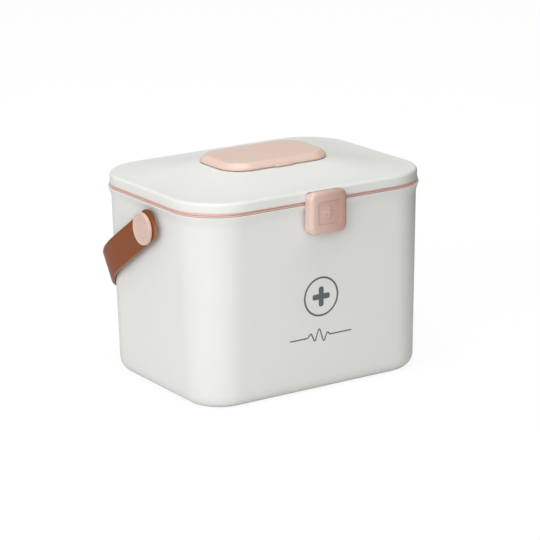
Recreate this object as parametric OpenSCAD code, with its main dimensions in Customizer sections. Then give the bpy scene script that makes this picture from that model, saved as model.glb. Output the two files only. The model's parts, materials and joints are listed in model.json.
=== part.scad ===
// Medicine box: a drafted tub with a hinged, crowned lid, a front latch, a swinging
// carrying strap, a lift-out tray, and a pill cup under a small flap in the lid.
// Origin: middle of the tub's base. +Z is up, the latch faces -Y. Millimetres.

/* [Tub] */
// Width of the tub at its rim, left to right
rim_w = 260; // [230:1:320]
// Depth of the tub at its rim, front to back
rim_d = 200; // [180:1:260]
// Height of the tub's rim above the base
rim_h = 181.8; // [165:1:230]
// Radius of the rim's corners, seen from above
rim_r = 47.7; // [40:0.5:60]
// How far the wall lies inside the rim just under the collar
collar_out = 2.6; // [2:0.1:3.4]
// Height of the collar that flares out to the rim
collar_h = 11; // [9:0.5:14]
// How far the base lies inside the rim
base_in = 6.75; // [5:0.25:9]
// Radius of the rounded edge round the base
base_edge_r = 13; // [6:0.5:16]
// How much faster the corners tighten than the walls lean in
corner_taper = 1.45; // [1:0.05:1.5]
// Thickness of the tub's wall and floor
wall = 2.5; // [2:0.1:3.2]

/* [Lid] */
// How far the lid's sides stand inside the rim
lid_in_x = 1; // [0:0.1:1.6]
// How far the lid's front and back stand inside the rim
lid_in_y = 0; // [0:0.1:1.2]
// How much larger the radius of the lid's corners is than the rim's
lid_r_more = 2.3; // [0:0.1:4]
// Height of the seal's band between the rim and the lid
seal_h = 3.3; // [2.5:0.1:4]
// Height of the lid's edge, from its underside to where the crown starts
lid_edge_h = 9.4; // [8.5:0.1:14]
// Rounding of the lid's top edge
lid_edge_r = 3; // [1.5:0.5:4]
// Rise of the crown from the edge to the pill flap
crown_h = 9.2; // [6:0.1:12]
// How late the crown rises: 1 is a plain slope
crown_power = 1.6; // [1:0.1:2.5]
// Thickness of the lid
lid_wall = 2.4; // [1.8:0.1:3]
// Depth of the locating lip below the rim
lip_depth = 2.9; // [2:0.1:4]
// Thickness of the locating lip
lip_t = 2; // [1.6:0.1:2.6]

/* [Lid hinge] */
// Distance of the hinge's axis behind the rim
hinge_out = 5.5; // [5.2:0.1:7]
// Height of the hinge's axis above the rim
hinge_up = 2.2; // [1.8:0.1:3]
// Radius of the hinge's barrels
hinge_r = 4; // [3.4:0.1:4.4]
// Radius of the hinge's pins
hinge_pin_r = 1.5; // [1:0.1:2]
// Distance of each hinge from the middle
hinge_x = 60; // [45:1:75]
// Width of the lid's knuckle
knuckle_w = 20; // [14:1:26]
// Width of each of the tub's lugs beside it
lug_w = 6; // [4:0.5:8]

/* [Latch] */
// Width of the latch
latch_w = 40; // [34:0.5:48]
// Length of the latch below its pin
latch_drop = 35; // [32:0.5:40]
// Rounding radius of the latch about its pin, at the top and back
latch_round = 5; // [4.6:0.1:5.4]
// Distance of the latch's front face from its pin
latch_front = 5.8; // [5.2:0.1:7]
// Gap between the lid's edge and the axis of the latch's pin
latch_out = 4.7; // [4.5:0.1:5.2]
// Radius of the latch's corners, seen from the front
latch_corner_r = 7; // [5:0.5:9]
// Rounding of the latch's front edges
latch_edge_r = 4; // [2:0.5:4.5]
// Thickness of the latch's front
latch_wall = 2.2; // [1.8:0.1:2.8]
// Width of the recessed panel on the latch
latch_panel_w = 24.5; // [18:0.5:28]
// Height of the recessed panel on the latch
latch_panel_h = 22; // [16:0.5:25]
// Depth of the recessed panel on the latch
latch_panel_in = 0.8; // [0.4:0.1:1]
// Radius of the latch's pin
latch_pin_r = 1.25; // [1:0.05:1.5]
// Width of each of the lid's lugs that hold the latch's pin
latch_lug_w = 3.7; // [3:0.1:4.5]
// Width of the rib that the latch hooks under
catch_w = 24; // [16:1:28]

/* [Strap] */
// Height of the strap's pivot above the base
pivot_z = 159.4; // [148:0.5:160]
// Distance of the pivot in front of the middle
pivot_fwd = 9.5; // [0:0.5:10]
// Gap between the tub's rim and the strap's arms
strap_gap = 2; // [1.5:0.1:3]
// Width of the strap
strap_w = 30.4; // [26:0.2:34]
// Thickness of the strap
strap_t = 3.6; // [3:0.1:4.2]
// Outer radius of the strap's two bends
strap_bend_r = 102; // [80:1:108]
// Angle of the resting strap below level, degrees
strap_rest = 32.5; // [28:0.5:38]
// Radius of the stem that the strap turns on
stem_r = 5; // [4:0.1:6]
// Radius of the round cap over the pivot
cap_r = 15.2; // [13:0.1:16]
// Thickness of the round cap
cap_t = 3.4; // [3:0.1:4.5]
// Radius of the screw inside the stem
screw_r = 1.75; // [1.5:0.05:2]
// Radius of the washer inside the tub
washer_r = 8; // [6.5:0.1:8.5]

/* [Tray] */
// Height of the tray's underside above the base
tray_z = 130; // [120:1:132]
// Reach of the ledges that the tray rests on
ledge_out = 11.5; // [10:0.5:14]
// Width of each ledge
ledge_w = 8; // [6:0.5:12]
// Distance of the front and back ledges from the middle
ledge_x = 70; // [50:1:80]
// Gap between the tray's ends and the tub's walls
tray_gap_x = 4.9; // [1:0.1:5.5]
// Gap between the tray's long sides and the tub's walls
tray_gap_y = 3.9; // [1:0.1:5]
// How much larger the radius of the tray's corners is than an even gap needs
tray_r_more = 1; // [0:0.5:6]
// Height of the tray
tray_h = 42; // [30:1:43]
// How far the tray's walls lean in from top to bottom
tray_draft = 1; // [0.5:0.1:1.5]
// Thickness of the tray's walls and floor
tray_wall = 1.8; // [1.5:0.1:2.2]
// Distance of each divider from the middle of the tray
divider_x = 40; // [30:1:60]
// Thickness of a divider
divider_t = 1.6; // [1.2:0.1:2]
// Radius of the finger scoops in the tray's ends
scoop_r = 14; // [10:0.5:16]

/* [Pill cup and flap] */
// Width of the pill flap at its foot
flap_w = 110; // [100:1:120]
// Depth of the pill flap at its foot
flap_d = 74; // [66:1:80]
// Radius of the flap's corners at its foot
flap_r = 24; // [20:0.5:28]
// Height of the flap
flap_h = 6.4; // [5:0.1:7]
// How far the flap's sides lean in
flap_lean = 4; // [2:0.5:5]
// Thickness of the flap's walls
flap_wall = 1.8; // [1.5:0.1:2]
// Dark gap between the lid and the flap
flap_gap = 0.6; // [0.5:0.1:1]
// Width of the finger tab on the flap's front
flap_tab_w = 20; // [14:1:28]
// Depth of the pill cup below its flange
cup_h = 20; // [14:0.5:21]
// Thickness of the cup's walls
cup_wall = 1.6; // [1.2:0.1:2]
// Thickness of the cup's flange
flange_t = 1.6; // [1.2:0.1:2]
// Radius of the flap's hinge barrel
flap_hinge_r = 2; // [1.8:0.1:2.2]
// Radius of the flap's pin
flap_pin_r = 0.9; // [0.7:0.05:1]

/* [Hidden] */

$fn = 96;
// Radial clearance of everything that turns on a pin or stem
run_fit = 0.05;
// Gap between bodies that move past each other
gap = 0.3;
// Gap between pieces of one body that lie face to face
seat = 0.05;
// Overlap that fuses two shapes of one piece
fuse = 0.6;
// Steps round each quarter of a lofted corner
corner_steps = 8;

white = [0.90, 0.90, 0.88];
blush = [0.90, 0.76, 0.71];
clip_pink = [0.84, 0.62, 0.55];
tan_brown = [0.56, 0.33, 0.21];
steel = [0.72, 0.72, 0.74];
clear_white = [0.93, 0.94, 0.94];

// Lid sizes that follow from the rim
lid_w = rim_w - 2 * lid_in_x;
lid_d = rim_d - 2 * lid_in_y;
lid_r = rim_r + lid_r_more;

// Heights that follow from the sizes above
collar_z = rim_h - collar_h;
seal_z0 = rim_h + gap;
lid_z0 = seal_z0 + seal_h;
lid_z1 = lid_z0 + lid_edge_h;
pad_z = lid_z1 + crown_h;
flap_z0 = pad_z + flap_gap;
flap_z1 = flap_z0 + flap_h;
pocket_z = pad_z - flange_t - seat;
lip_z = rim_h - lip_depth;

// Hinge, latch and flap axes
hinge_y = rim_d / 2 + hinge_out;
hinge_z = rim_h + hinge_up;
latch_y = -(lid_d / 2 + latch_out);
latch_z = lid_z0 + 4.1;
flap_hinge_y = flap_d / 2 + flap_hinge_r + 0.8;
flap_hinge_z = flap_z0 + flap_hinge_r - 0.1;

// Inner edges of the rim and the lip that drops inside it
collar_wall = 3;
lip_in = collar_wall + 0.4;

// Points of a rounded rectangle, anticlockwise from +X, at one height
function ring(w, d, r, z) = [for (q = [0:3], k = [0:corner_steps])
    let (a = 90 * q + 90 * k / corner_steps,
         cx = (q == 0 || q == 3 ? 1 : -1) * (w / 2 - r),
         cy = (q < 2 ? 1 : -1) * (d / 2 - r))
    [cx + r * cos(a), cy + r * sin(a), z]];

// A ring of the tub: inset leans with the walls, edge is a true rounding
function tub_ring(z, inset, edge = 0) =
    ring(rim_w - 2 * (inset + edge), rim_d - 2 * (inset + edge), rim_r - corner_taper * inset - edge, z);

// A ring of the lid's edge
function lid_ring(z, inset) = ring(lid_w - 2 * inset, lid_d - 2 * inset, lid_r - inset, z);

// Inset of the tub's outer wall at a height under the collar
function wall_in(z) = base_in + (collar_out - base_in) * z / collar_z;

// Half the outer depth and width of the tub at a height under the collar
function wall_y(z) = rim_d / 2 - wall_in(z);
function wall_x(z) = rim_w / 2 - wall_in(z);

// Inset of the flaring collar, 0 at its foot to 1 at the rim: a concave quarter wave
function collar_in(t) = collar_out * pow(cos(90 * t), 1.2);

// Triangles between stacked rings of the same number of points, closed by flat ends or into a loop
function band(i, j, n) = [for (k = [0:n - 1]) let (m = (k + 1) % n)
    each [[i * n + k, j * n + m, i * n + m], [i * n + k, j * n + k, j * n + m]]];

module loft(rings, loop = false) {
    n = len(rings[0]);
    last = len(rings) - 1;
    sides = [for (i = [0:last - 1]) each band(i, i + 1, n)];
    ends = loop ? band(last, 0, n)
                : [[for (k = [0:n - 1]) k], [for (k = [n - 1:-1:0]) last * n + k]];
    polyhedron([for (r = rings) each r], concat(sides, ends), convexity = 6);
}

// A flat rounded rectangle with true arcs
module plate(w, d, r) {
    square([w - 2 * r, d], center = true);
    square([w, d - 2 * r], center = true);
    for (x = [-1, 1], y = [-1, 1]) translate([x * (w / 2 - r), y * (d / 2 - r)]) circle(r);
}

// A cylinder along X from x0 to x1 on the axis at y, z
module rod(x0, x1, y, z, r) {
    translate([min(x0, x1), y, z]) rotate([0, 90, 0]) cylinder(r = r, h = abs(x1 - x0));
}

// A profile drawn as y across and z up, carried along X from x0 to x1
module along_x(x0, x1) {
    translate([min(x0, x1), 0, 0]) rotate([90, 0, 90]) linear_extrude(abs(x1 - x0)) children();
}

// Sizes of the strap's pivot, worked out from the rim
strap_x0 = rim_w / 2 + strap_gap;
strap_x1 = strap_x0 + strap_t;
boss_x = strap_x0 - gap;
boss_r = 9.5;
pad_x = wall_x(pivot_z) - wall - 0.5;
inner_foot_r = base_edge_r - 2;
rim_edge = 0.4;

// Tub: open top, drafted walls, a flared collar, lugs, pivot bosses, ledges and a catch
module tub_shell() {
    loft(concat(
        [for (a = [0:18:90]) tub_ring(base_edge_r * (1 - cos(a)), wall_in(base_edge_r * (1 - cos(a))),
            base_edge_r * (1 - sin(a)))],
        [for (t = [0:0.2:1]) tub_ring(collar_z + (collar_h - rim_edge) * t, collar_in(t))],
        [tub_ring(rim_h, rim_edge), tub_ring(rim_h, collar_wall - rim_edge)],
        [tub_ring(rim_h - rim_edge, collar_wall), tub_ring(lip_z - 0.7, collar_wall)],
        [tub_ring(collar_z + 3.5, collar_out + wall)],
        [for (a = [0:22.5:90]) tub_ring(wall + inner_foot_r * (1 - sin(a)),
            base_in + wall, inner_foot_r * (1 - cos(a)))]));
}

module tub_lug() {
    along_x(0, lug_w) {
        translate([hinge_y, hinge_z]) circle(hinge_r);
        polygon([[wall_y(collar_z) - 0.8, collar_z - 5], [hinge_y + 0.7 * hinge_r, hinge_z - 0.72 * hinge_r],
            [hinge_y, hinge_z], [hinge_y - 0.95 * hinge_r, hinge_z], [rim_d / 2 - 1, rim_h - 0.6],
            [wall_y(collar_z) - 0.8, rim_h - 0.6]]);
    }
}

module ledge(reach) {
    along_x(-ledge_w / 2, ledge_w / 2) polygon([[reach + 1, tray_z], [reach + 1, tray_z - 2 * ledge_out],
        [reach - ledge_out, tray_z - 2], [reach - ledge_out, tray_z]]);
}

catch_z = latch_z - latch_drop + 4.5;
catch_y = latch_y + 4.5;
module catch_rib() {
    along_x(-catch_w / 2, catch_w / 2) polygon([[-wall_y(catch_z) + 0.8, catch_z], [catch_y, catch_z],
        [catch_y, catch_z + 1.6], [-wall_y(catch_z + 5) + 0.8, catch_z + 5]]);
}

module body_tub() {
    color(white) difference() {
        union() {
            tub_shell();
            for (s = [-1, 1], e = [-1, 1])
                translate([s * hinge_x + e * (knuckle_w / 2 + gap + lug_w / 2) - lug_w / 2, 0, 0]) tub_lug();
            for (s = [-1, 1]) {
                rod(s * (wall_x(pivot_z) - fuse), s * boss_x, -pivot_fwd, pivot_z, boss_r);
                rod(s * pad_x, s * (wall_x(pivot_z) - wall + fuse), -pivot_fwd, pivot_z, boss_r);
            }
            for (x = [-ledge_x, ledge_x], e = [0, 180])
                translate([x, 0, 0]) rotate([0, 0, e]) ledge(wall_y(tray_z) - wall);
            for (e = [90, -90]) rotate([0, 0, e]) ledge(wall_x(tray_z) - wall);
            catch_rib();
        }
        for (s = [-1, 1]) {
            rod(s * (hinge_x - knuckle_w), s * (hinge_x + knuckle_w), hinge_y, hinge_z, hinge_pin_r + run_fit);
            rod(s * (pad_x - 1), s * (boss_x + 1), -pivot_fwd, pivot_z, stem_r + run_fit);
        }
    }
}

// Lid: a thin crowned shell with a thick edge, a locating lip and a pocketed opening for the cup
pocket_w = flap_w - 5;
pocket_d = flap_d - 5;
pocket_r = flap_r - 2.5;
hole_w = pocket_w - 5;
hole_d = pocket_d - 5;
hole_r = pocket_r - 2.5;
crown_w = flap_w + 1.4;
crown_d = flap_d + 1.4;
crown_r = flap_r + 0.7;

// The crown from the edge at 0 to the foot of the flap at 1, sunk by drop for the inside
function crown_ring(t, drop = 0) = ring(
    lid_w - 2 * lid_edge_r + (crown_w - lid_w + 2 * lid_edge_r) * t,
    lid_d - 2 * lid_edge_r + (crown_d - lid_d + 2 * lid_edge_r) * t,
    lid_r - lid_edge_r + (crown_r - lid_r + lid_edge_r) * t,
    lid_z1 + crown_h * pow(t, crown_power) - drop);

module lid_loft() {
    outer = concat(
        [tub_ring(lip_z, lip_in + 0.4), tub_ring(lip_z + 0.6, lip_in), tub_ring(lid_z0, lip_in)],
        [lid_ring(lid_z0, 0.5), lid_ring(lid_z0 + 0.5, 0)],
        [for (a = [0:30:90]) lid_ring(lid_z1 - lid_edge_r * (1 - sin(a)), lid_edge_r * (1 - cos(a)))],
        [for (t = [0.12:0.11:0.89]) crown_ring(t)], [crown_ring(1)]);
    pocket = [ring(pocket_w, pocket_d, pocket_r, pad_z), ring(pocket_w, pocket_d, pocket_r, pocket_z),
        ring(hole_w, hole_d, hole_r, pocket_z), ring(hole_w, hole_d, hole_r, pocket_z - lid_wall)];
    under = concat([for (t = [0.86:-0.14:0.12]) crown_ring(t, lid_wall)],
        [tub_ring(lid_z1 - lid_wall - 1, lip_in + lip_t + 1.2), tub_ring(lid_z1 - lid_wall - 3, lip_in + lip_t),
         tub_ring(lip_z, lip_in + lip_t)]);
    loft(concat(outer, pocket, under), loop = true);
}

notch_in = 1.2;
latch_lug_x0 = latch_w / 2 - 2.1 - latch_lug_w;
module latch_lug() {
    along_x(0, latch_lug_w) {
        translate([latch_y, latch_z]) circle(latch_round - 2);
        polygon([[latch_y, latch_z - latch_round + 2], [latch_y + 1, latch_z - 1.5],
            [-lid_d / 2 + 2, latch_z - 2.4], [-lid_d / 2 + 2, lid_z0], [latch_y + 2, lid_z0]]);
    }
}

tongue_w = 52;
tongue_y = flap_hinge_y + flap_hinge_r + 0.6;
module lid_shell() {
    color(white) difference() {
        union() {
            difference() {
                lid_loft();
                translate([-latch_w / 2 - 0.6, -lid_d, lid_z0 - 1])
                    cube([latch_w + 1.2, lid_d / 2 + notch_in, lid_edge_h + 2]);
            }
            for (s = [-1, 1]) {
                translate([s * hinge_x, 0, 0]) along_x(-knuckle_w / 2, knuckle_w / 2) {
                    translate([hinge_y, hinge_z]) circle(hinge_r);
                    polygon([[lid_d / 2 - 1.5, lid_z0], [hinge_y, lid_z0], [hinge_y, hinge_z + hinge_r],
                        [lid_d / 2 - 1.5, hinge_z + hinge_r + 1.5]]);
                }
                translate([s > 0 ? latch_lug_x0 : -latch_lug_x0 - latch_lug_w, 0, 0]) latch_lug();
            }
        }
        for (s = [-1, 1])
            rod(s * (hinge_x - knuckle_w), s * (hinge_x + knuckle_w), hinge_y, hinge_z, hinge_pin_r + run_fit);
        rod(-latch_w, latch_w, latch_y, latch_z, latch_pin_r + run_fit);
        translate([-tongue_w / 2 - gap, 0, pocket_z]) cube([tongue_w + 2 * gap, tongue_y + gap, flap_h]);
    }
}

// Seal: a plain silicone band round the lid's lip
module seal_ring() {
    out = 0.8;
    color(blush) translate([0, 0, seal_z0]) linear_extrude(seal_h - seat) difference() {
        plate(rim_w - 2 * out, rim_d - 2 * out, rim_r - corner_taper * out);
        plate(rim_w - 2 * lip_in + 2 * seat, rim_d - 2 * lip_in + 2 * seat, rim_r - corner_taper * lip_in + seat);
    }
}

// Latch: a pillow-fronted shell that turns on a pin under the lid's edge and hooks under the rib
latch_bottom = latch_z - latch_drop;
latch_top = latch_z + latch_round;
latch_face = latch_y - latch_front;
latch_back = -rim_d / 2 - 0.5;
cheek = 1.7;
cheek_lean = 1.8;

// A ring of the latch, seen from the front, at a depth y
function latch_ring(y, inset) = [for (p = ring(latch_w - 2 * inset, latch_top - latch_bottom - 2 * inset,
    latch_corner_r - 0.9 * inset, 0)) [p[0], y, p[1] + (latch_top + latch_bottom) / 2]];

module latch_block() {
    loft(concat([latch_ring(latch_back + 3, 0)],
        [for (a = [0:18:90]) latch_ring(latch_face + latch_edge_r * (1 - sin(a)), latch_edge_r * (1 - cos(a)))]));
}

module latch() {
    color(clip_pink) difference() {
        union() {
            difference() {
                latch_block();
                // Hollow behind the front
                translate([0, latch_face + latch_wall, latch_bottom + latch_wall]) rotate([90, 0, 180])
                    translate([-(latch_w / 2 - cheek), 0, 0])
                        cube([latch_w - 2 * cheek, latch_round + latch_drop - latch_wall - 1.6, latch_w / 2]);
            }
            rod(-(latch_lug_x0 - gap), latch_lug_x0 - gap, latch_y, latch_z, latch_round);
            translate([-catch_w / 2 - 1, latch_face + latch_wall - fuse, latch_bottom + latch_wall - fuse])
                cube([catch_w + 2, catch_y - gap - latch_face - latch_wall + fuse,
                    catch_z - gap - latch_bottom - latch_wall + fuse]);
        }
        // Room behind the cheeks for the lid's edge, the rim and the wall
        along_x(-latch_w, latch_w) difference() {
            polygon([[latch_y, latch_top + 5], [latch_y, latch_z], [latch_y, latch_z - 1],
                [latch_back, latch_z - 1 - latch_round], [latch_back, rim_h - 6],
                [latch_back + cheek_lean, latch_bottom], [latch_back + cheek_lean, latch_bottom - 5],
                [0, latch_bottom - 5], [0, latch_top + 5]]);
            translate([latch_y, latch_z]) circle(latch_round);
        }
        // Clear of the lid's lugs and their webs
        for (s = [-1, 1]) translate([s * (latch_lug_x0 + latch_lug_w / 2), 0, 0])
            along_x(-latch_lug_w / 2 - gap, latch_lug_w / 2 + gap) {
                translate([latch_y, latch_z]) circle(latch_round - 1.6);
                translate([latch_y, latch_z - latch_round - 1]) square([20, 2 * latch_round + 6]);
            }
        rod(-latch_lug_x0, latch_lug_x0, latch_y, latch_z, latch_pin_r + run_fit);
        // Recessed panel on the front
        translate([0, latch_face + latch_panel_in, (latch_top + latch_bottom) / 2]) rotate([90, 0, 0])
            linear_extrude(10) plate(latch_panel_w, latch_panel_h, 3.5);
    }
}

module latch_pin() {
    x = latch_lug_x0 + latch_lug_w;
    color(steel) rod(-x, x, latch_y, latch_z, latch_pin_r);
}

module hinge_pin(s) {
    reach = knuckle_w / 2 + gap + lug_w - 0.2;
    color(steel) rod(s * hinge_x - reach, s * hinge_x + reach, hinge_y, hinge_z, hinge_pin_r);
}
module hinge_pin_left() hinge_pin(-1);
module hinge_pin_right() hinge_pin(1);

// How far a point lies outside the tub's wall
function outside(x, y, z) = let (i = wall_in(z), r = rim_r - corner_taper * i,
    qx = abs(x) - (rim_w / 2 - i - r), qy = abs(y) - (rim_d / 2 - i - r))
    norm([max(qx, 0), max(qy, 0)]) + min(max(qx, qy), 0) - r;

// Least distance from the tub to the inside of the strap's bend, for a strap of this reach
function strap_clear(reach) = min([for (q = [0:5:90], n = [-1, 1])
    let (r = strap_bend_r - strap_t, s = reach - r + r * sin(q), side = n * strap_w / 2)
    outside(strap_x0 - r + r * cos(q), s * cos(strap_rest) + side * sin(strap_rest) - pivot_fwd,
        pivot_z - s * sin(strap_rest) + side * cos(strap_rest))]);

// Reach from the pivot to the inside of the cross band: the strap rests against the tub's back corners
function solve_reach(low, high, steps = 24) = steps == 0 ? high : let (mid = (low + high) / 2)
    strap_clear(mid) < gap + 0.1 ? solve_reach(mid, high, steps - 1) : solve_reach(low, mid, steps - 1);
strap_reach = solve_reach(strap_bend_r, rim_d + rim_w);
eye_fwd = 0.8;

// The band's outline seen from above, at an offset inside its outer face
module strap_outline(inset) {
    r = strap_bend_r - inset;
    x = strap_x1 - inset;
    end = strap_reach + strap_t - inset;
    for (m = [-1, 1]) translate([m * (x - r), end - r]) circle(r);
    translate([-x, -strap_w]) square([2 * x, end - r + strap_w]);
    translate([r - x, 0]) square([2 * (x - r), end]);
}

// Strap: a U-shaped band with round eyes, drawn from above at level and turned down to its rest angle
module strap_handle() {
    color(tan_brown) translate([0, -pivot_fwd, pivot_z]) rotate([-strap_rest, 0, 0]) difference() {
        intersection() {
            translate([0, 0, -strap_w / 2]) linear_extrude(strap_w) difference() {
                strap_outline(0);
                strap_outline(strap_t);
            }
            along_x(-rim_w, rim_w) {
                translate([-eye_fwd, 0]) circle(strap_w / 2);
                translate([-eye_fwd, -strap_w / 2]) square([strap_reach + rim_w, strap_w]);
            }
        }
        rod(-rim_w, rim_w, 0, 0, stem_r + run_fit);
    }
}

// Pivot hardware, drawn on the +X side and mirrored: cap with stem, screw and washer
cap_x0 = strap_x1 + gap;
module at_side(s) {
    mirror([s < 0 ? 1 : 0, 0, 0]) translate([0, -pivot_fwd, pivot_z]) rotate([0, 90, 0]) children();
}

module strap_cap(s) {
    rim = 1;
    color(blush) at_side(s) difference() {
        union() {
            translate([0, 0, cap_x0]) rotate_extrude() polygon(concat([[0, 0], [cap_r - 0.4, 0]],
                [for (a = [-20:22:90]) [cap_r - rim + rim * cos(a), cap_t - rim + rim * sin(a)]],
                [[cap_r - 2.4, cap_t], [cap_r - 3, cap_t - 0.35], [cap_r * 0.62, cap_t - 0.35],
                 [cap_r * 0.56, cap_t - 0.6], [cap_r * 0.5, cap_t - 0.35], [0, cap_t - 0.35]]));
            translate([0, 0, pad_x + 0.1]) cylinder(r = stem_r, h = cap_x0 - pad_x);
        }
        translate([0, 0, pad_x]) cylinder(r = screw_r + run_fit, h = cap_x0 - pad_x - 1);
    }
}
module strap_cap_left() strap_cap(-1);
module strap_cap_right() strap_cap(1);

washer_t = 1;
module cap_washer(s) {
    color(steel) at_side(s) translate([0, 0, pad_x - seat - washer_t]) difference() {
        cylinder(r = washer_r, h = washer_t);
        translate([0, 0, -1]) cylinder(r = screw_r + 0.35, h = washer_t + 2);
    }
}
module cap_washer_left() cap_washer(-1);
module cap_washer_right() cap_washer(1);

screw_head_r = 3.8;
screw_head_h = 2;
module cap_screw(s) {
    top = pad_x - 2 * seat - washer_t;
    color(steel) at_side(s) difference() {
        union() {
            translate([0, 0, top - screw_head_h]) rotate_extrude() polygon([[0, 0], [screw_head_r - 1.2, 0],
                [screw_head_r - 0.3, 0.7], [screw_head_r, screw_head_h], [0, screw_head_h]]);
            translate([0, 0, top - fuse]) cylinder(r = screw_r, h = cap_x0 - top - 2);
        }
        for (a = [0, 90]) rotate([0, 0, a]) translate([-2.2, -0.4, top - screw_head_h - 1]) cube([4.4, 0.8, 2]);
    }
}
module cap_screw_left() cap_screw(-1);
module cap_screw_right() cap_screw(1);

// Tray: a lift-out tray on the tub's ledges, with slots for two dividers and a scoop at each end
tray_z0 = tray_z + gap;
tray_z1 = tray_z0 + tray_h;
tray_w = 2 * (wall_x(tray_z) - wall - tray_gap_x);
tray_d = 2 * (wall_y(tray_z) - wall - tray_gap_y);
tray_r = rim_r - corner_taper * (wall_in(tray_z) + wall) - tray_gap_y + tray_r_more;
function tray_ring(t, inset, edge = 0) = ring(tray_w - 2 * (tray_draft * (1 - t) + inset + edge),
    tray_d - 2 * (tray_draft * (1 - t) + inset + edge), tray_r - inset - edge, tray_z0 + tray_h * t);
function tray_t(z) = z / tray_h;
slot_gap = divider_t + 0.4;

module tray_loft() {
    foot = 4;
    loft(concat(
        [for (a = [0:30:90]) tray_ring(tray_t((foot + 1) * (1 - cos(a))), 0, (foot + 1) * (1 - sin(a)))],
        [tray_ring(1, 0), tray_ring(1, tray_wall)],
        [for (a = [0:30:90]) tray_ring(tray_t(tray_wall + foot * (1 - sin(a))), tray_wall, foot * (1 - cos(a)))]));
}

module tray() {
    in_y = tray_d / 2 - tray_wall - tray_draft;
    color(clear_white) difference() {
        union() {
            tray_loft();
            for (x = [-divider_x, divider_x], e = [-1, 1], s = [-1, 1])
                translate([x + e * (slot_gap / 2 + 0.75) - 0.75, s > 0 ? in_y - 2.2 : -in_y - 0.6, tray_z0 + 1])
                    cube([1.5, 2.8, tray_h - 4]);
        }
        rod(-rim_w, rim_w, 0, tray_z1 + 4, scoop_r);
    }
}

module tray_divider(x) {
    half = tray_d / 2 - tray_wall - tray_draft - 0.3;
    foot = 4;
    z0 = tray_z0 + tray_wall + 0.1;
    color(clear_white) along_x(x - divider_t / 2, x + divider_t / 2) {
        translate([-half, z0 + foot]) square([2 * half, tray_h - tray_wall - foot - 4]);
        translate([-half + foot, z0]) square([2 * half - 2 * foot, foot + 1]);
    }
}
module tray_divider_left() tray_divider(-divider_x);
module tray_divider_right() tray_divider(divider_x);

// Pill cup: hangs by its flange in the lid, with two moulded dividers and the flap's ears
ear_x0 = 20.4;
ear_w = 4;
flange_gap = 0.4;
cup_z1 = pad_z - flange_t;
cup_z0 = cup_z1 - cup_h;

cup_w = hole_w - 1;
cup_d = hole_d - 1;
cup_r = hole_r - 0.5;
function cup_ring(z, inset, edge = 0) = ring(cup_w - 2 * (inset + edge), cup_d - 2 * (inset + edge),
    cup_r - inset - edge, z);

module pill_cup() {
    lean = 0.8;
    foot = 3;
    color(clear_white) difference() {
        union() {
            loft(concat(
                [for (a = [0:30:90]) cup_ring(cup_z0 + (foot + 1) * (1 - cos(a)), lean, (foot + 1) * (1 - sin(a)))],
                [cup_ring(cup_z1, 0)],
                [for (z = [cup_z1, pad_z]) ring(pocket_w - 2 * flange_gap, pocket_d - 2 * flange_gap,
                    pocket_r - flange_gap, z)],
                [cup_ring(pad_z, cup_wall)],
                [for (a = [0:30:90]) cup_ring(cup_z0 + cup_wall + foot * (1 - sin(a)), lean + cup_wall,
                    foot * (1 - cos(a)))]));
            for (x = [-cup_w / 6, cup_w / 6])
                translate([x - 0.7, -cup_d / 2 + 1, cup_z0 + 1]) cube([1.4, cup_d - 2, cup_h - 3]);
            translate([-tongue_w / 2, cup_d / 2 + 0.5, cup_z1]) cube([tongue_w, tongue_y - cup_d / 2 - 0.5, flange_t]);
            for (s = [-1, 1]) along_x(s * ear_x0, s * (ear_x0 + ear_w)) {
                translate([flap_hinge_y, flap_hinge_z]) circle(flap_hinge_r);
                translate([flap_hinge_y - flap_hinge_r, cup_z1])
                    square([2 * flap_hinge_r, flap_hinge_z - cup_z1]);
            }
        }
        rod(-tongue_w, tongue_w, flap_hinge_y, flap_hinge_z, flap_pin_r + run_fit);
    }
}

// Pill flap: a low bevelled cap with a finger tab in front and two knuckles behind
module pill_cover() {
    side = 1.2;
    r = 1;
    z_in = flap_z1 - flap_wall;
    inner = flap_lean + flap_wall;
    color(blush) difference() {
        union() {
            loft([
                ring(flap_w - 2 * inner - 1, flap_d - 2 * inner - 1, flap_r - inner - 0.5, z_in),
                ring(flap_w - 2 * inner, flap_d - 2 * inner, flap_r - inner, z_in - 0.5),
                ring(flap_w - 2 * flap_wall - 1, flap_d - 2 * flap_wall - 1, flap_r - flap_wall - 0.5, flap_z0 + side),
                ring(flap_w - 2 * flap_wall - 1, flap_d - 2 * flap_wall - 1, flap_r - flap_wall - 0.5, flap_z0),
                ring(flap_w - 0.6, flap_d - 0.6, flap_r - 0.3, flap_z0),
                ring(flap_w, flap_d, flap_r, flap_z0 + 0.3),
                ring(flap_w, flap_d, flap_r, flap_z0 + side),
                ring(flap_w - 1.4, flap_d - 1.4, flap_r - 0.7, flap_z0 + side + 1.6),
                ring(flap_w - 2 * flap_lean, flap_d - 2 * flap_lean, flap_r - flap_lean, flap_z1 - r),
                ring(flap_w - 2 * flap_lean - r, flap_d - 2 * flap_lean - r, flap_r - flap_lean - r / 2, flap_z1 - r / 3),
                ring(flap_w - 2 * flap_lean - 3 * r, flap_d - 2 * flap_lean - 3 * r, flap_r - flap_lean - 1.5 * r, flap_z1)]);
            translate([0, -flap_d / 2 + 1, flap_z0]) linear_extrude(1.8) plate(flap_tab_w, 5.4, 2);
            for (s = [-1, 1]) along_x(s * (ear_x0 - gap - 8), s * (ear_x0 - gap)) {
                translate([flap_hinge_y, flap_hinge_z]) circle(flap_hinge_r);
                translate([flap_d / 2 - 2, flap_hinge_z - 1.6]) square([flap_hinge_y - flap_d / 2 + 2, 2.6]);
            }
        }
        rod(-tongue_w, tongue_w, flap_hinge_y, flap_hinge_z, flap_pin_r + run_fit);
    }
}

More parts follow.
